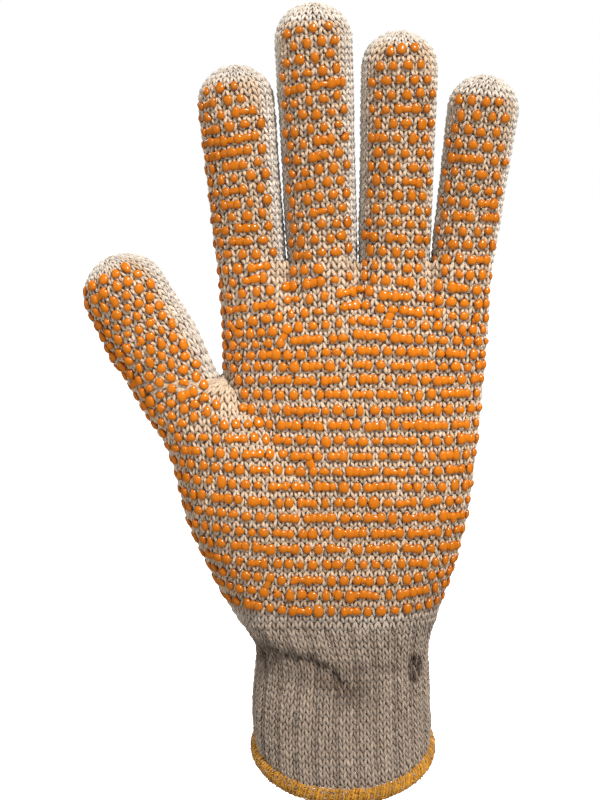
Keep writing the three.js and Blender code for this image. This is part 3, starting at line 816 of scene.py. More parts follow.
def dotField(name, spots, merge):
    # spots holds the tube, row and column of each dot, its line and its number in it. Neighbours may merge.
    points, normals, dirs = (np.array(part) for part in zip(*map(spotPlace, spots)))
    count = len(points)
    facing = dot["edgeHeight"] + (1 - dot["edgeHeight"]) * smoothStep(0.05, 0.7, -normals[:, 1])
    across = dot["across"] * (1 + rng.normal(0, dot["uneven"], count)) * (0.6 + 0.4 * facing)
    along = dot["along"] * (1 + rng.normal(0, dot["uneven"], count)) * (0.75 + 0.25 * facing)
    height = dot["height"] * (1 + rng.normal(0, 0.1, count)) * facing
    places = {(spot["line"], spot["number"]): i for i, spot in enumerate(spots)}
    built = [bead(points, normals, dirs, across, along, height)]
    pairs = []
    chain = {}
    for (line, number), i in places.items():
        j = places.get((line, number + 1))
        chance = merge(points[i], line, number) * (1 if chain.get(i, 0) < 2 else dot["longChain"])
        if j is not None and rng.random() < chance:
            pairs.append((i, j))
            chain[j] = chain.get(i, 0) + 1
        for above in (number, number + 1):
            k = places.get((line + 1, above))
            if k is not None and rng.random() < dot["spill"]:
                if name == "dots_palm" and points[i][0] < dot["spillRight"]:
                    pairs.append((i, k))
    first, second = np.array(pairs).T
    gap = points[second] - points[first]
    length = np.linalg.norm(gap, axis=1)
    near = length < dot["longestRun"]
    first, second, gap, length = first[near], second[near], gap[near], length[near]
    middle = (points[first] + points[second]) / 2
    normal = unit(normals[first] + normals[second])
    direction = unit(gap - normal * np.sum(gap * normal, 1, keepdims=True))
    thick = dot["along"] * rng.uniform(0.62, 0.95, len(first))
    tall = np.minimum(height[first], height[second]) * rng.uniform(0.6, 0.92, len(first))
    built.append(bead(middle, normal, direction, length * 0.52, thick, tall))
    # Small drips beside some of the dots make their outlines lumpy
    lumpy = np.flatnonzero(rng.random(count) < dot["lumps"])
    turn = rng.uniform(0, 2 * math.pi, len(lumpy))
    upwards = np.cross(normals[lumpy], dirs[lumpy])
    aside = dirs[lumpy] * np.cos(turn)[:, None] + upwards * np.sin(turn)[:, None]
    reach = rng.uniform(0.75, 1.25, len(lumpy))
    small = rng.uniform(0.6, 0.95, len(lumpy))
    spotsAside = points[lumpy] + aside * reach[:, None]
    low = height[lumpy] * rng.uniform(0.5, 0.95, len(lumpy))
    built.append(bead(spotsAside, normals[lumpy], aside, small, small, low))
    vertices, faces, crown = joinParts(built)
    piece = makeMesh(name, vertices, faces, dict(crown=crown))
    print("  ", name, count, "dots", len(first), "runs")
    return piece


crotches = [fingerCentre(i) + fingers[i]["baseWidth"] / 2 for i in range(3)]
thumbCrotch = dict(x=-36.0, z=128.5, halfWidth=3.6, halfHeight=6.5)
placed = []


def inThumbCrotch(x, z):
    across = (x - thumbCrotch["x"]) / thumbCrotch["halfWidth"]
    return math.hypot(across, (z - thumbCrotch["z"]) / thumbCrotch["halfHeight"]) < 1


def isFree(spot, distance):
    # Keeps a dot only if no dot of another print is close by.
    point = spotPlace(spot)[0]
    return all(np.linalg.norm(point - other) > distance for other in placed)


def seenAt(tube, x, z):
    # Row and column where the front of a tube lies at x and z, and how far off the answer is.
    half = ringColumns // 2
    away = np.hypot(tube.points[:, :half + 1, 0] - x, tube.points[:, :half + 1, 2] - z)
    row, column = (float(v) for v in np.unravel_index(np.argmin(away), away.shape))
    for _ in range(5):
        rows, columns = np.array([row, row + 0.3, row]), np.array([column, column, column + 0.3])
        here, up, along = tube.read(tube.points, rows, columns)
        slopes = np.stack([(up - here)[[0, 2]], (along - here)[[0, 2]]], 1) / 0.3
        if abs(np.linalg.det(slopes)) < 1e-4:
            break
        step = np.clip(np.linalg.solve(slopes, [x - here[0], z - here[2]]), -1.5, 1.5)
        row = float(np.clip(row + step[0], 0, len(tube.points) - 1.01))
        column = float(np.clip(column + step[1], 0, half))
    here = tube.read(tube.points, np.array([row]), np.array([column]))[0]
    return row, column, math.hypot(here[0] - x, here[2] - z)


def fingerSpots(stall, tube):
    own = prints[stall["name"]]
    pitch = own["pitch"]
    centre = stallBase(stall)["x"]
    below = max(z + rowLift(centre, z) for z in palmRows if z + rowLift(centre, z) < crotchLevel - 1)
    bottom = below + own["row"] - crotchLevel
    rows = round((stall["length"] - own["bare"] - bottom) / own["row"]) + 1
    spots = []
    for line, distance in enumerate(np.linspace(stall["length"] - own["bare"], bottom, rows)):
        row = float(tube.rowOf(distance))
        front = float(lengthAt(tube, row)[0])
        narrow = 0.08 * math.exp(-line / 1.5)
        fall = own["baseFall"] + (own["tipFall"] - own["baseFall"]) * distance / stall["length"]
        reach = int(front / pitch) + 2
        for number in range(-reach, reach):
            s = front / 2 + (number + 0.5 * (line % 2)) * pitch + rng.normal(0, dot["shift"])
            share = s / front
            drop = fall * (share - (own["right"] + own["left"]) / 2) / (own["left"] - own["right"])
            drop += rng.normal(0, dot["shift"] * 0.6)
            if own["right"] + narrow < share < own["left"] - narrow and distance - drop > -1.6:
                place = float(tube.rowOf(distance - drop))
                column = float(columnOf(tube, place, s))
                spots.append(dict(tube=tube, row=place, column=column, line=-line, number=-number))
    return [spot for spot in spots if isFree(spot, dot["apart"])]


def thumbSpots():
    # The thumb's rows lie square to its axis and go on below its crotch, over the ball of the thumb.
    base = stallBase(thumb)
    lean = math.radians(thumb["lean"])
    axis = np.array([math.sin(lean), math.cos(lean)])
    square = np.array([math.cos(lean), -math.sin(lean)])
    spots = []
    for line in range(thumbPrint["rows"]):
        distance = thumb["length"] - thumbPrint["bare"] - line * dot["thumbRow"]
        narrow = thumbPrint["narrow"] * math.exp(-line / 1.5)
        for number in range(-8, 8):
            w = thumbPrint["middle"] + (number + 0.5 * (line % 2)) * dot["thumbPitch"]
            w += rng.normal(0, dot["shift"])
            shift = rng.normal(0, dot["shift"] * 0.6)
            if not thumbPrint["left"] + narrow * 2 < w < thumbPrint["right"] - narrow:
                continue
            across = thumbPrint["bend"] * math.sin(max(w / thumbPrint["bend"], -1.5))
            drop = thumbPrint["droop"] * max(-w, 0) ** 2
            x, z = np.array([base["x"], base["z"]]) + axis * (distance + shift - drop) + square * across
            lowest = thumbPrint["lowLeft"] + (x - thumbPrint["lowX"]) * thumbPrint["lowSlope"]
            if z < thumbLevel and (z < lowest or x > thumbPrint["lowRight"]):
                continue
            if inThumbCrotch(x, z):
                continue
            tube = stallTubes["thumb"] if z > thumbLevel else lowTube
            row, column, off = seenAt(tube, x, z)
            if off < thumbPrint["seenWithin"]:
                spots.append(dict(tube=tube, row=row, column=column, line=-line, number=number))
    return spots


# How the palm's printed rows bend: down to both sides at the knuckles, up over the ball of the thumb
# and over the heel of the hand
rowBend = dict(
    knuckles=(128, 165), turn=5, leftDrop=4.3, leftSpan=23, rightDrop=3.2, rightSpan=24, rightPower=0.8,
    ball=(128, 100), ballLift=3.5, ballRight=-14, ballSpan=38, ballPower=1.2,
    lowBall=(80, 62), lowBallMore=0.8,
    heel=(80, 60), heelLift=2.2, heelLeft=12, heelSpan=17, heelMost=4.0,
)


def rowLift(x, z):
    bend = rowBend
    keys = ("knuckles", "ball", "lowBall", "heel")
    knuckles, low, lower, heel = (float(smoothStep(*bend[key], z)) for key in keys)
    right = x - bend["turn"]
    if right < 0:
        down = bend["leftDrop"] * -right / bend["leftSpan"]
    else:
        down = bend["rightDrop"] * (right / bend["rightSpan"]) ** bend["rightPower"]
    ball = bend["ballLift"] * max((bend["ballRight"] - x) / bend["ballSpan"], 0) ** bend["ballPower"] * low
    ball = ball * (1 + bend["lowBallMore"] * lower)
    heelRise = bend["heelLift"] * max((x - bend["heelLeft"]) / bend["heelSpan"], 0) ** 2 * heel
    return ball + min(heelRise, bend["heelMost"]) - knuckles * down


palmPrint = dict(
    lowest=61.2, middle=4.0, right=0.035, left=1.02, closer=0.18, bottom=60.0, top=1.0, apart=3.3,
    gapBelow=11, gapSpread=0.34, thumbHigh=122, thumbLeft=-40,
)
palmRows = [palmPrint["lowest"]]
while palmRows[-1] < crotchLevel + 6:
    closer = palmPrint["closer"] * float(smoothStep(120, 140, palmRows[-1]))
    palmRows.append(palmRows[-1] + dot["rowPitch"] - closer)


def palmSpots():
    spots = []
    for line, z in enumerate(palmRows):
        for number in range(-30, 18):
            flat = palmPrint["middle"] + (number + 0.5 * (line % 2)) * dot["pitch"]
            flat += rng.normal(0, dot["shift"])
            shift = rng.normal(0, dot["shift"] * 0.6)
            tube = lowTube if z < thumbLevel else highTube
            level = min(z, crotchLevel)
            front = float(lengthAt(tube, tube.rowOf(level))[0])
            row, column, _ = seenAt(tube, palmPrint["middle"], level)
            s = column / ringColumns * 2 * front - (flat - palmPrint["middle"])
            if not palmPrint["right"] * front < s < palmPrint["left"] * front:
                continue
            rows = np.array([row])
            x = float(tube.read(tube.points, rows, columnOf(tube, rows, np.array([s])))[0, 0])
            height = z + rowLift(x, z) + shift
            if height > crotchLevel - palmPrint["top"] or height < palmPrint["bottom"]:
                continue
            tube = lowTube if height < thumbLevel else highTube
            place = float(tube.rowOf(height))
            front = float(lengthAt(tube, place)[0])
            if s > palmPrint["left"] * front:
                continue
            reach = (height - crotchLevel + palmPrint["gapBelow"]) * palmPrint["gapSpread"]
            if any(abs(x - crotch) < reach for crotch in crotches):
                continue
            onThumb = height > palmPrint["thumbHigh"] and x < palmPrint["thumbLeft"]
            if inThumbCrotch(x, height) or onThumb:
                continue
            column = float(columnOf(tube, place, s))
            spot = dict(tube=tube, row=place, column=column, line=line, number=number)
            if isFree(spot, palmPrint["apart"]):
                spots.append(spot)
    return spots


# How often a dot runs into its neighbour, by where it lies
merging = dict(
    fingers=0.04, indexMore=0.26, othersMore=0.11, fingerHeights=(238, 205), thumb=0.03, thumbMore=0.17,
    thumbHeights=(128, 108), palm=0.15, palmMore=0.18, palmMost=0.42, patchLow=0.2, patchMore=1.6,
)


def fingerMerge(point, line, number):
    lower = float(smoothStep(*merging["fingerHeights"], point[2]))
    return merging["fingers"] + merging["indexMore" if point[0] < -20 else "othersMore"] * lower


def thumbMerge(point, line, number):
    return merging["thumb"] + merging["thumbMore"] * float(smoothStep(*merging["thumbHeights"], point[2]))


def palmMerge(point, line, number):
    # Patchy: some stretches of a row run together far more than others.
    x, y, z = point
    wave = math.sin(line * 12.9898 + (number // 3) * 78.233) * 43758.5453
    patch = wave - math.floor(wave)
    middle = float(smoothStep(150, 125, z)) * float(smoothStep(60, 80, z)) * float(smoothStep(-30, -5, x))
    strength = merging["palm"] + merging["palmMore"] * middle
    return min(merging["palmMost"], strength * (merging["patchLow"] + merging["patchMore"] * patch))


dotPieces = {}
for name, makeSpots, merge in (
    ("dots_thumb", thumbSpots, thumbMerge), ("dots_palm", palmSpots, palmMerge),
):
    spots = makeSpots()
    dotPieces[name] = dotField(name, spots, merge)
    placed.extend(spotPlace(spot)[0] for spot in spots)
for stall in fingers:
    spots = fingerSpots(stall, stallTubes[stall["name"]])
    dotPieces["dots_" + stall["name"]] = dotField("dots_" + stall["name"], spots, fingerMerge)


# Overlocked hem: mustard thread wound over the cut edge in two layers, with loose loops and pale flecks
print("stage: hem")
hem = dict(
    wraps=170, thread=0.42, stations=13, sides=5, slant=1.5, ragged=0.55,
    fuzz=1500, fuzzThread=0.2, flecks=230, fleckThread=0.18,
)


def hemPath():
    ring = cuffRing(0, 1.0)[0]
    ring[:, 2] -= glove["seatGap"] + glove["hemHeight"] / 2
    return ring


def edgeNormals(ring):
    # Square to the edge at each of its points, in the level plane.
    around = np.roll(ring, -1, 0) - np.roll(ring, 1, 0)
    return unit(np.stack([-around[:, 1], around[:, 0], np.zeros(len(ring))], 1))


def turnedOut(directions, points):
    return directions if np.sum(directions * points) >= 0 else -directions


def threadTubes(paths, radius):
    # Thin tubes along many paths of equally many points.
    count, stations = paths.shape[:2]
    sides = hem["sides"]
    tangent = unit(np.gradient(paths, axis=1))
    sideways = unit(np.cross(tangent, np.array([0.3, 0.5, 0.81])))
    upward = np.cross(tangent, sideways)
    angle = 2 * math.pi * np.arange(sides) / sides
    taper = np.ones(stations)
    taper[[0, -1]] = 0.5
    reach = radius[:, None, None] * taper[None, :, None]
    ring = (
        paths[:, :, None] + sideways[:, :, None] * (reach * np.cos(angle))[..., None]
        + upward[:, :, None] * (reach * np.sin(angle))[..., None]
    )
    caps = np.concatenate([endFan(sides), endFan(sides)[:, [0, 2, 1]] + (stations - 1) * sides])
    quads = forEach(ringBand(stations, sides, flip=True), count, stations * sides)
    tris = forEach(caps, count, stations * sides)
    shade = np.broadcast_to(rng.random(count)[:, None, None], ring.shape[:3])
    length = np.broadcast_to(np.linspace(0, 1, stations)[None, :, None], ring.shape[:3])
    around = np.broadcast_to(np.cos(angle)[None, None], ring.shape[:3])
    return ring.reshape(-1, 3), quads, tris, np.stack([length, around, shade], -1).reshape(-1, 3)


def hemLayer(path, turns, phase, count, radius, swell):
    closed = np.concatenate([path, path[:1]])
    steps = np.linalg.norm(np.diff(closed, axis=0), axis=1)
    run = np.concatenate([[0], np.cumsum(steps)])
    pitch = run[-1] / count
    low, high = turns
    angle = np.linspace(low, high, hem["stations"])[None, :] + rng.normal(0, 0.12, (count, 1))
    stretch = hem["slant"] * np.linspace(-0.5, 0.5, hem["stations"])[None, :]
    along = (np.arange(count)[:, None] + phase) * pitch + stretch
    along = np.mod(along + rng.normal(0, 0.15, (count, 1)), run[-1])
    ahead = np.mod(along + 0.6, run[-1])
    point, further = (
        np.stack([np.interp(at, run, closed[:, k]) for k in range(3)], -1) for at in (along, ahead)
    )
    outward = unit(np.cross(unit(further - point), np.array([0.0, 0.0, 1.0])))
    if np.sum(outward[:, 0, :2] * point[:, 0, :2]) < 0:
        outward = -outward
    half = glove["hemThickness"] / 2 + swell
    tall = glove["hemHeight"] / 2 + swell + rng.random((count, 1)) * hem["ragged"] * (np.sin(angle) > 0.3)
    offset = outward * (half * np.cos(angle))[..., None]
    offset[..., 2] += tall * np.sin(angle)
    return threadTubes(point + offset, radius * (1 + rng.normal(0, 0.12, count)))


def threadPiece(name, parts):
    vertices, faces, strand = joinParts(parts)
    return makeMesh(name, vertices, faces, dict(strand=strand, soilAndShade=np.zeros(len(strand))))


def hemLoops(path, count, radius, angles, crowded):
    # Short loose loops standing out of the binding. crowded draws their places round the edge.
    outward = turnedOut(edgeNormals(path), path)
    place = crowded(count)
    centre, out = path[place], outward[place]
    along = unit(np.roll(path, -1, 0)[place] - centre)
    angle = rng.uniform(*angles, count)
    upward = np.array([0.0, 0.0, 1.0])
    half, tall = glove["hemThickness"] / 2 + 0.25, glove["hemHeight"] / 2 + 0.25
    start = centre + out * (half * np.cos(angle))[:, None] + upward * (tall * np.sin(angle))[:, None]
    start = start + along * rng.uniform(-0.4, 0.4, count)[:, None]
    away = out * np.cos(angle)[:, None] + upward * np.sin(angle)[:, None]
    turn = rng.uniform(0, 2 * math.pi, count)
    flat = along * np.cos(turn)[:, None] + np.cross(away, along) * np.sin(turn)[:, None]
    share = np.linspace(0, 1, 5)[None, :, None]
    stand = (rng.uniform(0.25, 0.75, count)[:, None, None]) * np.sin(share * math.pi)
    reach = rng.uniform(0.6, 1.7, count)[:, None, None] * (share - 0.5)
    paths = start[:, None] + away[:, None] * (stand - 0.1) + flat[:, None] * reach
    return threadTubes(paths, radius * (1 + rng.normal(0, 0.2, count)))


def everywhere(count):
    return rng.integers(0, len(path), count)


def mostlyLeft(count):
    # Places chosen by how far to the left they lie on the front.
    weight = 0.35 + np.maximum(-path[:, 0] / 20, 0) * (path[:, 1] < 2)
    return rng.choice(len(path), count, p=weight / weight.sum())


path = hemPath()
pieces["hem_thread"] = threadPiece("hem_thread", [
    hemLayer(path, (-3.6, 2.2), 0.0, hem["wraps"], hem["thread"], 0.0),
    hemLayer(path, (1.7, -1.4), 0.5, hem["wraps"], hem["thread"] * 0.9, 0.35),
    hemLoops(path, hem["fuzz"], hem["fuzzThread"], (-1.9, 1.9), everywhere),
])
pieces["hem_flecks"] = threadPiece("hem_flecks", [
    hemLoops(path, hem["flecks"], hem["fleckThread"], (0.5, 1.5), everywhere),
    hemLoops(path, hem["flecks"], hem["fleckThread"], (-0.9, 1.4), mostlyLeft),
])


# The binding's inner core, finished in the back loops' darker colour as painted shade between the wound
# threads
def hemCore():
    ring = path[::2]
    turn = 2 * math.pi * np.arange(8) / 8
    half, tall = glove["hemThickness"] / 2 - 0.1, glove["hemHeight"] / 2 - 0.1
    rings = ring[:, None] + edgeNormals(ring)[:, None] * (half * np.cos(turn))[None, :, None]
    rings[..., 2] += tall * np.sin(turn)
    return makeMesh("hem_core", rings, dict(quads=ringBand(*rings.shape[:2], closed=True, flip=True)))


pieces["hem_core"] = hemCore()


# Finishes
print("stage: materials")


def addNode(tree, kind, values=None, **settings):
    node = tree.nodes.new(kind)
    for key, value in settings.items():
        setattr(node, key, value)
    for key, value in (values or {}).items():
        if isinstance(value, bpy.types.NodeSocket):
            tree.links.new(value, node.inputs[key])
        else:
            node.inputs[key].default_value = value
    return node


def maths(tree, operation, *values, clamp=False):
    node = addNode(tree, "ShaderNodeMath", dict(enumerate(values)), operation=operation, use_clamp=clamp)
    return node.outputs[0]


def mixColours(tree, share, a, b, blend="MIX"):
    values = {0: share, 6: a, 7: b}
    return addNode(tree, "ShaderNodeMix", values, data_type="RGBA", blend_type=blend).outputs[2]


def attribute(tree, name):
    return addNode(tree, "ShaderNodeAttribute", attribute_name=name).outputs


def noise(tree, place, scale, detail):
    return addNode(tree, "ShaderNodeTexNoise", {"Vector": place, "Scale": scale, "Detail": detail}).outputs[0]


def splitAxes(tree, vector):
    return addNode(tree, "ShaderNodeSeparateXYZ", {0: vector}).outputs


def objectPlace(tree):
    return addNode(tree, "ShaderNodeTexCoord").outputs["Object"]


def bump(tree, shader, height, strength, distance):
    node = addNode(tree, "ShaderNodeBump", {"Height": height, "Strength": strength, "Distance": distance})
    tree.links.new(node.outputs[0], shader.inputs["Normal"])


def between(tree, value, low, high, start=0.0, end=1.0):
    values = {"Value": value, "From Min": low, "From Max": high, "To Min": start, "To Max": end}
    node = addNode(tree, "ShaderNodeMapRange", values, interpolation_type="SMOOTHSTEP")
    return node.outputs["Result"]


# Where the finish changes, as heights or depths in metres from none to full
zones = dict(
    worn=(0.084, 0.062), printFront=(0.001, -0.008), printLow=(0.058, 0.063),
    # The last two bound the painted light over the upper palm
    belowFingers=(0.178, 0.163), aboveWrist=(0.045, 0.145),
)


def paintedLightMask(tree, level):
    # Painted light: one on the brighter upper palm, none on the fingers, and falling off towards the darker
    # wrist.
    masks = [between(tree, level, *zones[key]) for key in ("belowFingers", "aboveWrist")]
    return maths(tree, "MULTIPLY", *masks)


def newGroup(name, inputs, outputs):
    group = bpy.data.node_groups.new(name, "ShaderNodeTree")
    for label, kind, value in inputs:
        socket = group.interface.new_socket(name=label, in_out="INPUT", socket_type=kind)
        socket.default_value = value
    for label, kind in outputs:
        group.interface.new_socket(name=label, in_out="OUTPUT", socket_type=kind)
    return group, group.nodes.new("NodeGroupInput").outputs, group.nodes.new("NodeGroupOutput").inputs


def buildYarnLook():
    # Spun yarn: a painted highlight along the crest of each leg, painted shade on its sides and at its ends
    # where it dives under, slanting plies, strand stripes, fine fibres, wear, and the cuff's dirt with its
    # painted shade.
    tree, given, out = newGroup("yarnLook", [
        ("Crest Highlight", "NodeSocketColor", (0.7, 0.62, 0.5, 1)),
        ("Side Shade", "NodeSocketColor", (0.4, 0.3, 0.2, 1)),
        ("Worn Crest Highlight", "NodeSocketColor", (0.5, 0.4, 0.3, 1)),
        ("Worn Side Shade", "NodeSocketColor", (0.3, 0.2, 0.15, 1)),
        ("Soiled And Shaded", "NodeSocketColor", (0.1, 0.07, 0.05, 1)),
        ("Print Grime And Bounce", "NodeSocketColor", (0.86, 0.71, 0.56, 1)),
        ("Palm Painted Light", "NodeSocketColor", (0.97, 0.82, 0.66, 1)),
        ("Plies", "NodeSocketFloat", 3.0),
        ("Fibre Scale", "NodeSocketFloat", 2400.0),
        ("Variation", "NodeSocketFloat", 0.2),
    ], [("Color", "NodeSocketColor"), ("Height", "NodeSocketFloat")])
    parts = splitAxes(tree, attribute(tree, "strand")["Vector"])
    soilAndShade = attribute(tree, "soilAndShade")["Fac"]
    place = objectPlace(tree)
    fibre = noise(tree, place, given["Fibre Scale"], 3.0)
    patch = noise(tree, place, 55.0, 2.0)
    _, depth, level = splitAxes(tree, place)
    worn = between(tree, maths(tree, "MULTIPLY_ADD", patch, 0.02, level), *zones["worn"])
    front, low = between(tree, depth, *zones["printFront"]), between(tree, level, *zones["printLow"])
    printed = maths(tree, "MULTIPLY", front, low)
    printed = maths(tree, "MULTIPLY", printed, attribute(tree, "printed")["Fac"])
    slant = maths(tree, "MULTIPLY_ADD", parts[1], 0.35, maths(tree, "MULTIPLY", parts[0], given["Plies"]))
    ply = maths(tree, "SINE", maths(tree, "MULTIPLY", slant, 2 * math.pi))
    # Painted highlight on the crest of each leg, painted shade on its sides
    crestHighlight = between(tree, maths(tree, "ABSOLUTE", parts[1]), 1.0, 0.1)
    # Painted shade at both ends of each leg, where it dives under the next loop
    ends = maths(tree, "MULTIPLY", between(tree, parts[0], 0.0, 0.3), between(tree, parts[0], 1.0, 0.72))
    strandTurn = maths(tree, "MULTIPLY_ADD", parts[1], 8.5, maths(tree, "MULTIPLY", parts[2], 30.0))
    streak = maths(tree, "SINE", maths(tree, "MULTIPLY_ADD", parts[0], 5.0, strandTurn))
    light = maths(tree, "MULTIPLY", crestHighlight, ends)
    light = maths(tree, "MULTIPLY_ADD", ply, 0.06, light)
    fineTurn = maths(tree, "MULTIPLY_ADD", parts[1], 23.0, maths(tree, "MULTIPLY", parts[2], 50.0))
    fine = maths(tree, "SINE", maths(tree, "MULTIPLY_ADD", parts[0], 11.0, fineTurn))
    light = maths(tree, "MULTIPLY_ADD", streak, 0.2, light)
    light = maths(tree, "MULTIPLY_ADD", fine, 0.12, light)
    light = maths(tree, "MULTIPLY_ADD", maths(tree, "SUBTRACT", fibre, 0.5), 0.8, light, clamp=True)
    crestHighlightColour = mixColours(tree, worn, given["Crest Highlight"], given["Worn Crest Highlight"])
    sideShadeColour = mixColours(tree, worn, given["Side Shade"], given["Worn Side Shade"])
    colour = mixColours(tree, light, sideShadeColour, crestHighlightColour)
    shade = maths(tree, "ADD", maths(tree, "SUBTRACT", parts[2], 0.5), maths(tree, "SUBTRACT", patch, 0.5))
    shade = maths(tree, "MULTIPLY_ADD", shade, given["Variation"], 1.0)
    value = addNode(tree, "ShaderNodeHueSaturation", {"Value": shade, "Color": colour}).outputs[0]
    # Painted light: the print's tint turns lighter over the upper palm than on the fingers and towards the
    # wrist
    tint = mixColours(tree, paintedLightMask(tree, level), given["Print Grime And Bounce"], given["Palm Painted Light"])
    # Among the print the cotton is darker and warmer: partly grime, partly painted shade and orange light
    # bounced from the dots
    value = mixColours(tree, printed, value, tint, "MULTIPLY")
    tree.links.new(mixColours(tree, soilAndShade, value, given["Soiled And Shaded"]), out["Color"])
    grain = maths(tree, "MULTIPLY_ADD", fine, 0.25, maths(tree, "MULTIPLY_ADD", streak, 0.3, fibre))
    height = maths(tree, "MULTIPLY_ADD", ply, 0.3, grain)
    tree.links.new(height, out["Height"])
    return tree


yarnLook = buildYarnLook()
bumpDepth = dict(yarn=0.00045, backing=0.0006, dots=0.00012, hem=0.0003)


def newMaterial(name, uniform):
    material = bpy.data.materials.new(name)
    material.use_nodes = True
    tree = material.node_tree
    shader = tree.nodes["Principled BSDF"]
    for key, value in uniform.items():
        shader.inputs[key].default_value = value
    return material, tree, shader


def yarnMaterial(name, keys, plies, variation, distance):
    uniform = {"Roughness": 0.88, "Sheen Weight": 0.12, "Specular IOR Level": 0.25}
    material, tree, shader = newMaterial(name, uniform)
    look = addNode(tree, "ShaderNodeGroup", node_tree=yarnLook)
    for label, key in zip(("Crest Highlight", "Side Shade", "Worn Crest Highlight", "Worn Side Shade", "Soiled And Shaded"), keys):
        look.inputs[label].default_value = colours[key]
    look.inputs["Plies"].default_value = plies
    look.inputs["Variation"].default_value = variation
    tree.links.new(look.outputs["Color"], shader.inputs["Base Color"])
    bump(tree, shader, look.outputs["Height"], 0.8, distance)
    return material


colours = dict(
    # Crest and side colours of the cotton: a painted highlight and painted shade on every leg, also in the
    # worn pair
    crestHighlight=(0.98, 0.91, 0.81), sideShade=(0.8, 0.65, 0.52),
    # The soiled colour darkens the cuff's dirt and its painted shade alike
    wornCrestHighlight=(0.50, 0.395, 0.305), wornSideShade=(0.455, 0.335, 0.245), soiledAndShaded=(0.075, 0.037, 0.019),
    # Backing colours: darker than the yarn, painted shade for the gaps between the legs and between the back
    # loops
    backing=(0.74, 0.48, 0.29), backingDeep=(0.46, 0.27, 0.15),
    # The dot's foot colour is painted shade
    dot=(0.6, 0.162, 0.0006), dotFootShade=(0.21, 0.032, 0.0003),
    # Crest and side colours of the hem thread: a painted highlight and painted shade
    hemCrestHighlight=(0.72, 0.33, 0.017), hemSideShade=(0.5, 0.21, 0.009),
    floor=(0.95, 0.95, 0.95), floorShade=(0.93, 0.93, 0.93),
)
colours = {key: colour + (1,) for key, colour in colours.items()}
cottonKeys = ("crestHighlight", "sideShade", "wornCrestHighlight", "wornSideShade", "soiledAndShaded")
hemKeys = ("hemCrestHighlight", "hemSideShade", "hemCrestHighlight", "hemSideShade", "soiledAndShaded")
cottonYarn = yarnMaterial("cotton_yarn", cottonKeys, 3.0, 0.35, bumpDepth["yarn"])
hemYarn = yarnMaterial("hem_yarn", hemKeys, 7.0, 0.5, bumpDepth["hem"])


def backingMaterial():
    material, tree, shader = newMaterial("shaded_back_loops", {"Roughness": 0.95})
    # The inner loops in a darker, warmer colour than the yarn, painted shade for the gaps between the legs,
    # and darker still at the edge of each loop cell as painted shade between the loops
    place = objectPlace(tree)
    loops = addNode(tree, "ShaderNodeTexVoronoi", {"Vector": place, "Scale": 480.0}).outputs["Distance"]
    fibre = noise(tree, place, 1800.0, 3.0)
    tone = maths(tree, "MULTIPLY_ADD", fibre, 0.5, maths(tree, "SUBTRACT", 0.75, loops), clamp=True)
    colour = mixColours(tree, tone, colours["backingDeep"], colours["backing"])
    tree.links.new(colour, shader.inputs["Base Color"])
    bump(tree, shader, tone, 0.7, bumpDepth["backing"])
    return material


def dotMaterial():
    # Glossy soft PVC, a little uneven in tone and skin; painted shade deepens the colour towards the foot of
    # each bead, and painted light leaves the beads dimmer away from the upper palm.
    uniform = {"Specular IOR Level": 0.3, "Coat Weight": 0.65, "Coat Roughness": 0.13}
    material, tree, shader = newMaterial("orange_pvc", uniform)
    place = objectPlace(tree)
    crown = attribute(tree, "crown")["Fac"]
    tone = noise(tree, place, 320.0, 2.0)
    fine = noise(tree, place, 1500.0, 2.0)
    # Painted shade: darker from the crown down to the foot of each bead
    foot = between(tree, crown, 0.1, 0.85)
    share = maths(tree, "MULTIPLY_ADD", maths(tree, "SUBTRACT", tone, 0.5), 0.8, foot, clamp=True)
    # Painted light: the beads are dimmer away from the upper palm
    lit = between(tree, paintedLightMask(tree, splitAxes(tree, place)[2]), 0.0, 1.0, 0.8, 1.0)
    colour = mixColours(tree, share, colours["dotFootShade"], colours["dot"])
    colour = addNode(tree, "ShaderNodeHueSaturation", {"Value": lit, "Color": colour}).outputs[0]
    tree.links.new(colour, shader.inputs["Base Color"])
    tree.links.new(between(tree, fine, 0.3, 0.7, 0.2, 0.36), shader.inputs["Roughness"])
    bump(tree, shader, fine, 0.4, bumpDepth["dots"])
    return material


def floorMaterial():
    uniform = {"Roughness": 0.9, "Emission Color": (1, 1, 1, 1), "Emission Strength": studio["floorGlow"]}
    material, tree, shader = newMaterial("pale_floor", uniform)
    tone = noise(tree, objectPlace(tree), 3.0, 2.0)
    colour = mixColours(tree, tone, colours["floorShade"], colours["floor"])
    tree.links.new(colour, shader.inputs["Base Color"])
    return material


shadedBackLoops, orangePvc = backingMaterial(), dotMaterial()

# Every piece gets its finish and the body it rides on, and the knit and hem hide the imported parts they
# stand for
print("stage: pieces")
for name, piece in pieces.items():
    part = name.split("_", 1)[1]
    if name.startswith("hem"):
        piece.data.materials.append(dict(hem_thread=hemYarn, hem_flecks=cottonYarn, hem_core=shadedBackLoops)[name])
        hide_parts("hem")
    else:
        isCuff = "cuff" in name
        finish = shadedBackLoops if name.startswith("backing") else cottonYarn
        piece.data.materials.append(finish)
        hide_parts("cuff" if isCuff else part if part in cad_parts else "palm")
    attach(piece, "root")
for piece in dotPieces.values():
    piece.data.materials.append(orangePvc)
    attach(piece, "root")

# Floor, light and camera
print("stage: studio")
studio = dict(
    floorLevel=-0.12, floorRadius=9.0, floorGlow=0.7, floorSides=96,
    world=0.8, mirrored=0.05, key=19.0, fill=0.6, rim=3.5, back=4.0,
)
sides = studio["floorSides"]
turn = np.linspace(0, 2 * math.pi, sides, endpoint=False)
rim = np.column_stack([np.cos(turn), np.sin(turn), np.zeros(sides)]) * studio["floorRadius"] / mm
rim[:, 2] = studio["floorLevel"] / mm
middle = np.array([[0, 0, studio["floorLevel"] / mm]])
wedges = [[i, (i + 1) % sides, sides] for i in range(sides)]
floor = makeMesh("floor", np.concatenate([rim, middle]), dict(tris=wedges), smooth=False)
floor.data.materials.append(floorMaterial())
floor.visible_diffuse = False
floor.visible_glossy = False

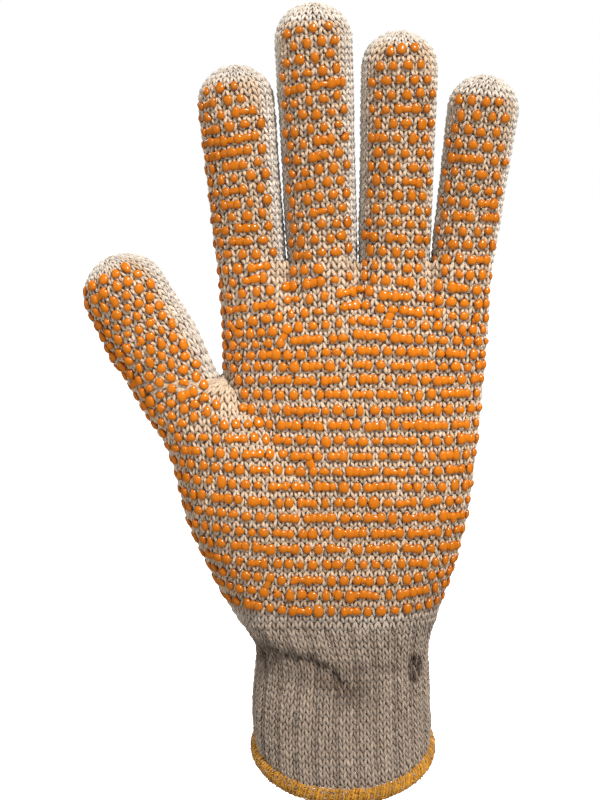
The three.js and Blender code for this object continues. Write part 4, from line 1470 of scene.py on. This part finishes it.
world = bpy.data.worlds.new("studio")
bpy.context.scene.world = world
world.use_nodes = True
tree = world.node_tree
softSky = tree.nodes["Background"]
softSky.inputs["Color"].default_value = (1, 1, 1, 1)
softSky.inputs["Strength"].default_value = studio["world"]
seen = addNode(tree, "ShaderNodeBackground", {"Color": (1, 1, 1, 1), "Strength": 1.0})
mirrored = addNode(tree, "ShaderNodeBackground", {"Color": (1, 1, 1, 1), "Strength": studio["mirrored"]})
rays = addNode(tree, "ShaderNodeLightPath")
lit = {0: rays.outputs["Is Glossy Ray"], 1: softSky.outputs[0], 2: mirrored.outputs[0]}
both = addNode(tree, "ShaderNodeMixShader", lit)
lit = {0: rays.outputs["Is Camera Ray"], 1: both.outputs[0], 2: seen.outputs[0]}
both = addNode(tree, "ShaderNodeMixShader", lit)
tree.links.new(both.outputs[0], tree.nodes["World Output"].inputs["Surface"])

aim = Vector((-0.0136, 0, 0.1253))


def softLight(name, place, size, power, tint):
    light = bpy.data.lights.new(name, "AREA")
    light.shape = "DISK"
    light.size = size
    light.energy = power
    light.color = tint
    lamp = bpy.data.objects.new(name, light)
    lamp.location = place
    lamp.rotation_euler = (aim - Vector(place)).to_track_quat("-Z", "Y").to_euler()
    bpy.context.scene.collection.objects.link(lamp)


softLight("key", (0.42, -0.75, 1.05), 0.22, studio["key"], (1.0, 0.97, 0.93))
softLight("fill", (-0.9, -0.8, 0.35), 0.7, studio["fill"], (0.93, 0.96, 1.0))
softLight("rim", (-0.7, 0.8, 0.7), 0.5, studio["rim"], (0.9, 0.95, 1.0))
softLight("back", (0.35, 1.0, 0.45), 0.6, studio["back"], (1.0, 0.98, 0.95))

shot = dict(elevation=6.0, distance=0.7, seenHeight=0.2543, sensor=36.0)
cameraData = bpy.data.cameras.new("camera")
cameraData.sensor_fit = "VERTICAL"
cameraData.sensor_height = shot["sensor"]
cameraData.lens = shot["sensor"] * shot["distance"] / shot["seenHeight"]
cameraData.clip_start = 0.01
camera = bpy.data.objects.new("camera", cameraData)
rise = math.radians(shot["elevation"])
camera.location = aim + Vector((0, -math.cos(rise), math.sin(rise))) * shot["distance"]
camera.rotation_euler = (aim - camera.location).to_track_quat("-Z", "Y").to_euler()
bpy.context.scene.collection.objects.link(camera)
bpy.context.scene.camera = camera
bpy.context.scene.view_settings.view_transform = "Standard"
bpy.context.scene.view_settings.look = "None"

print("stage: done")
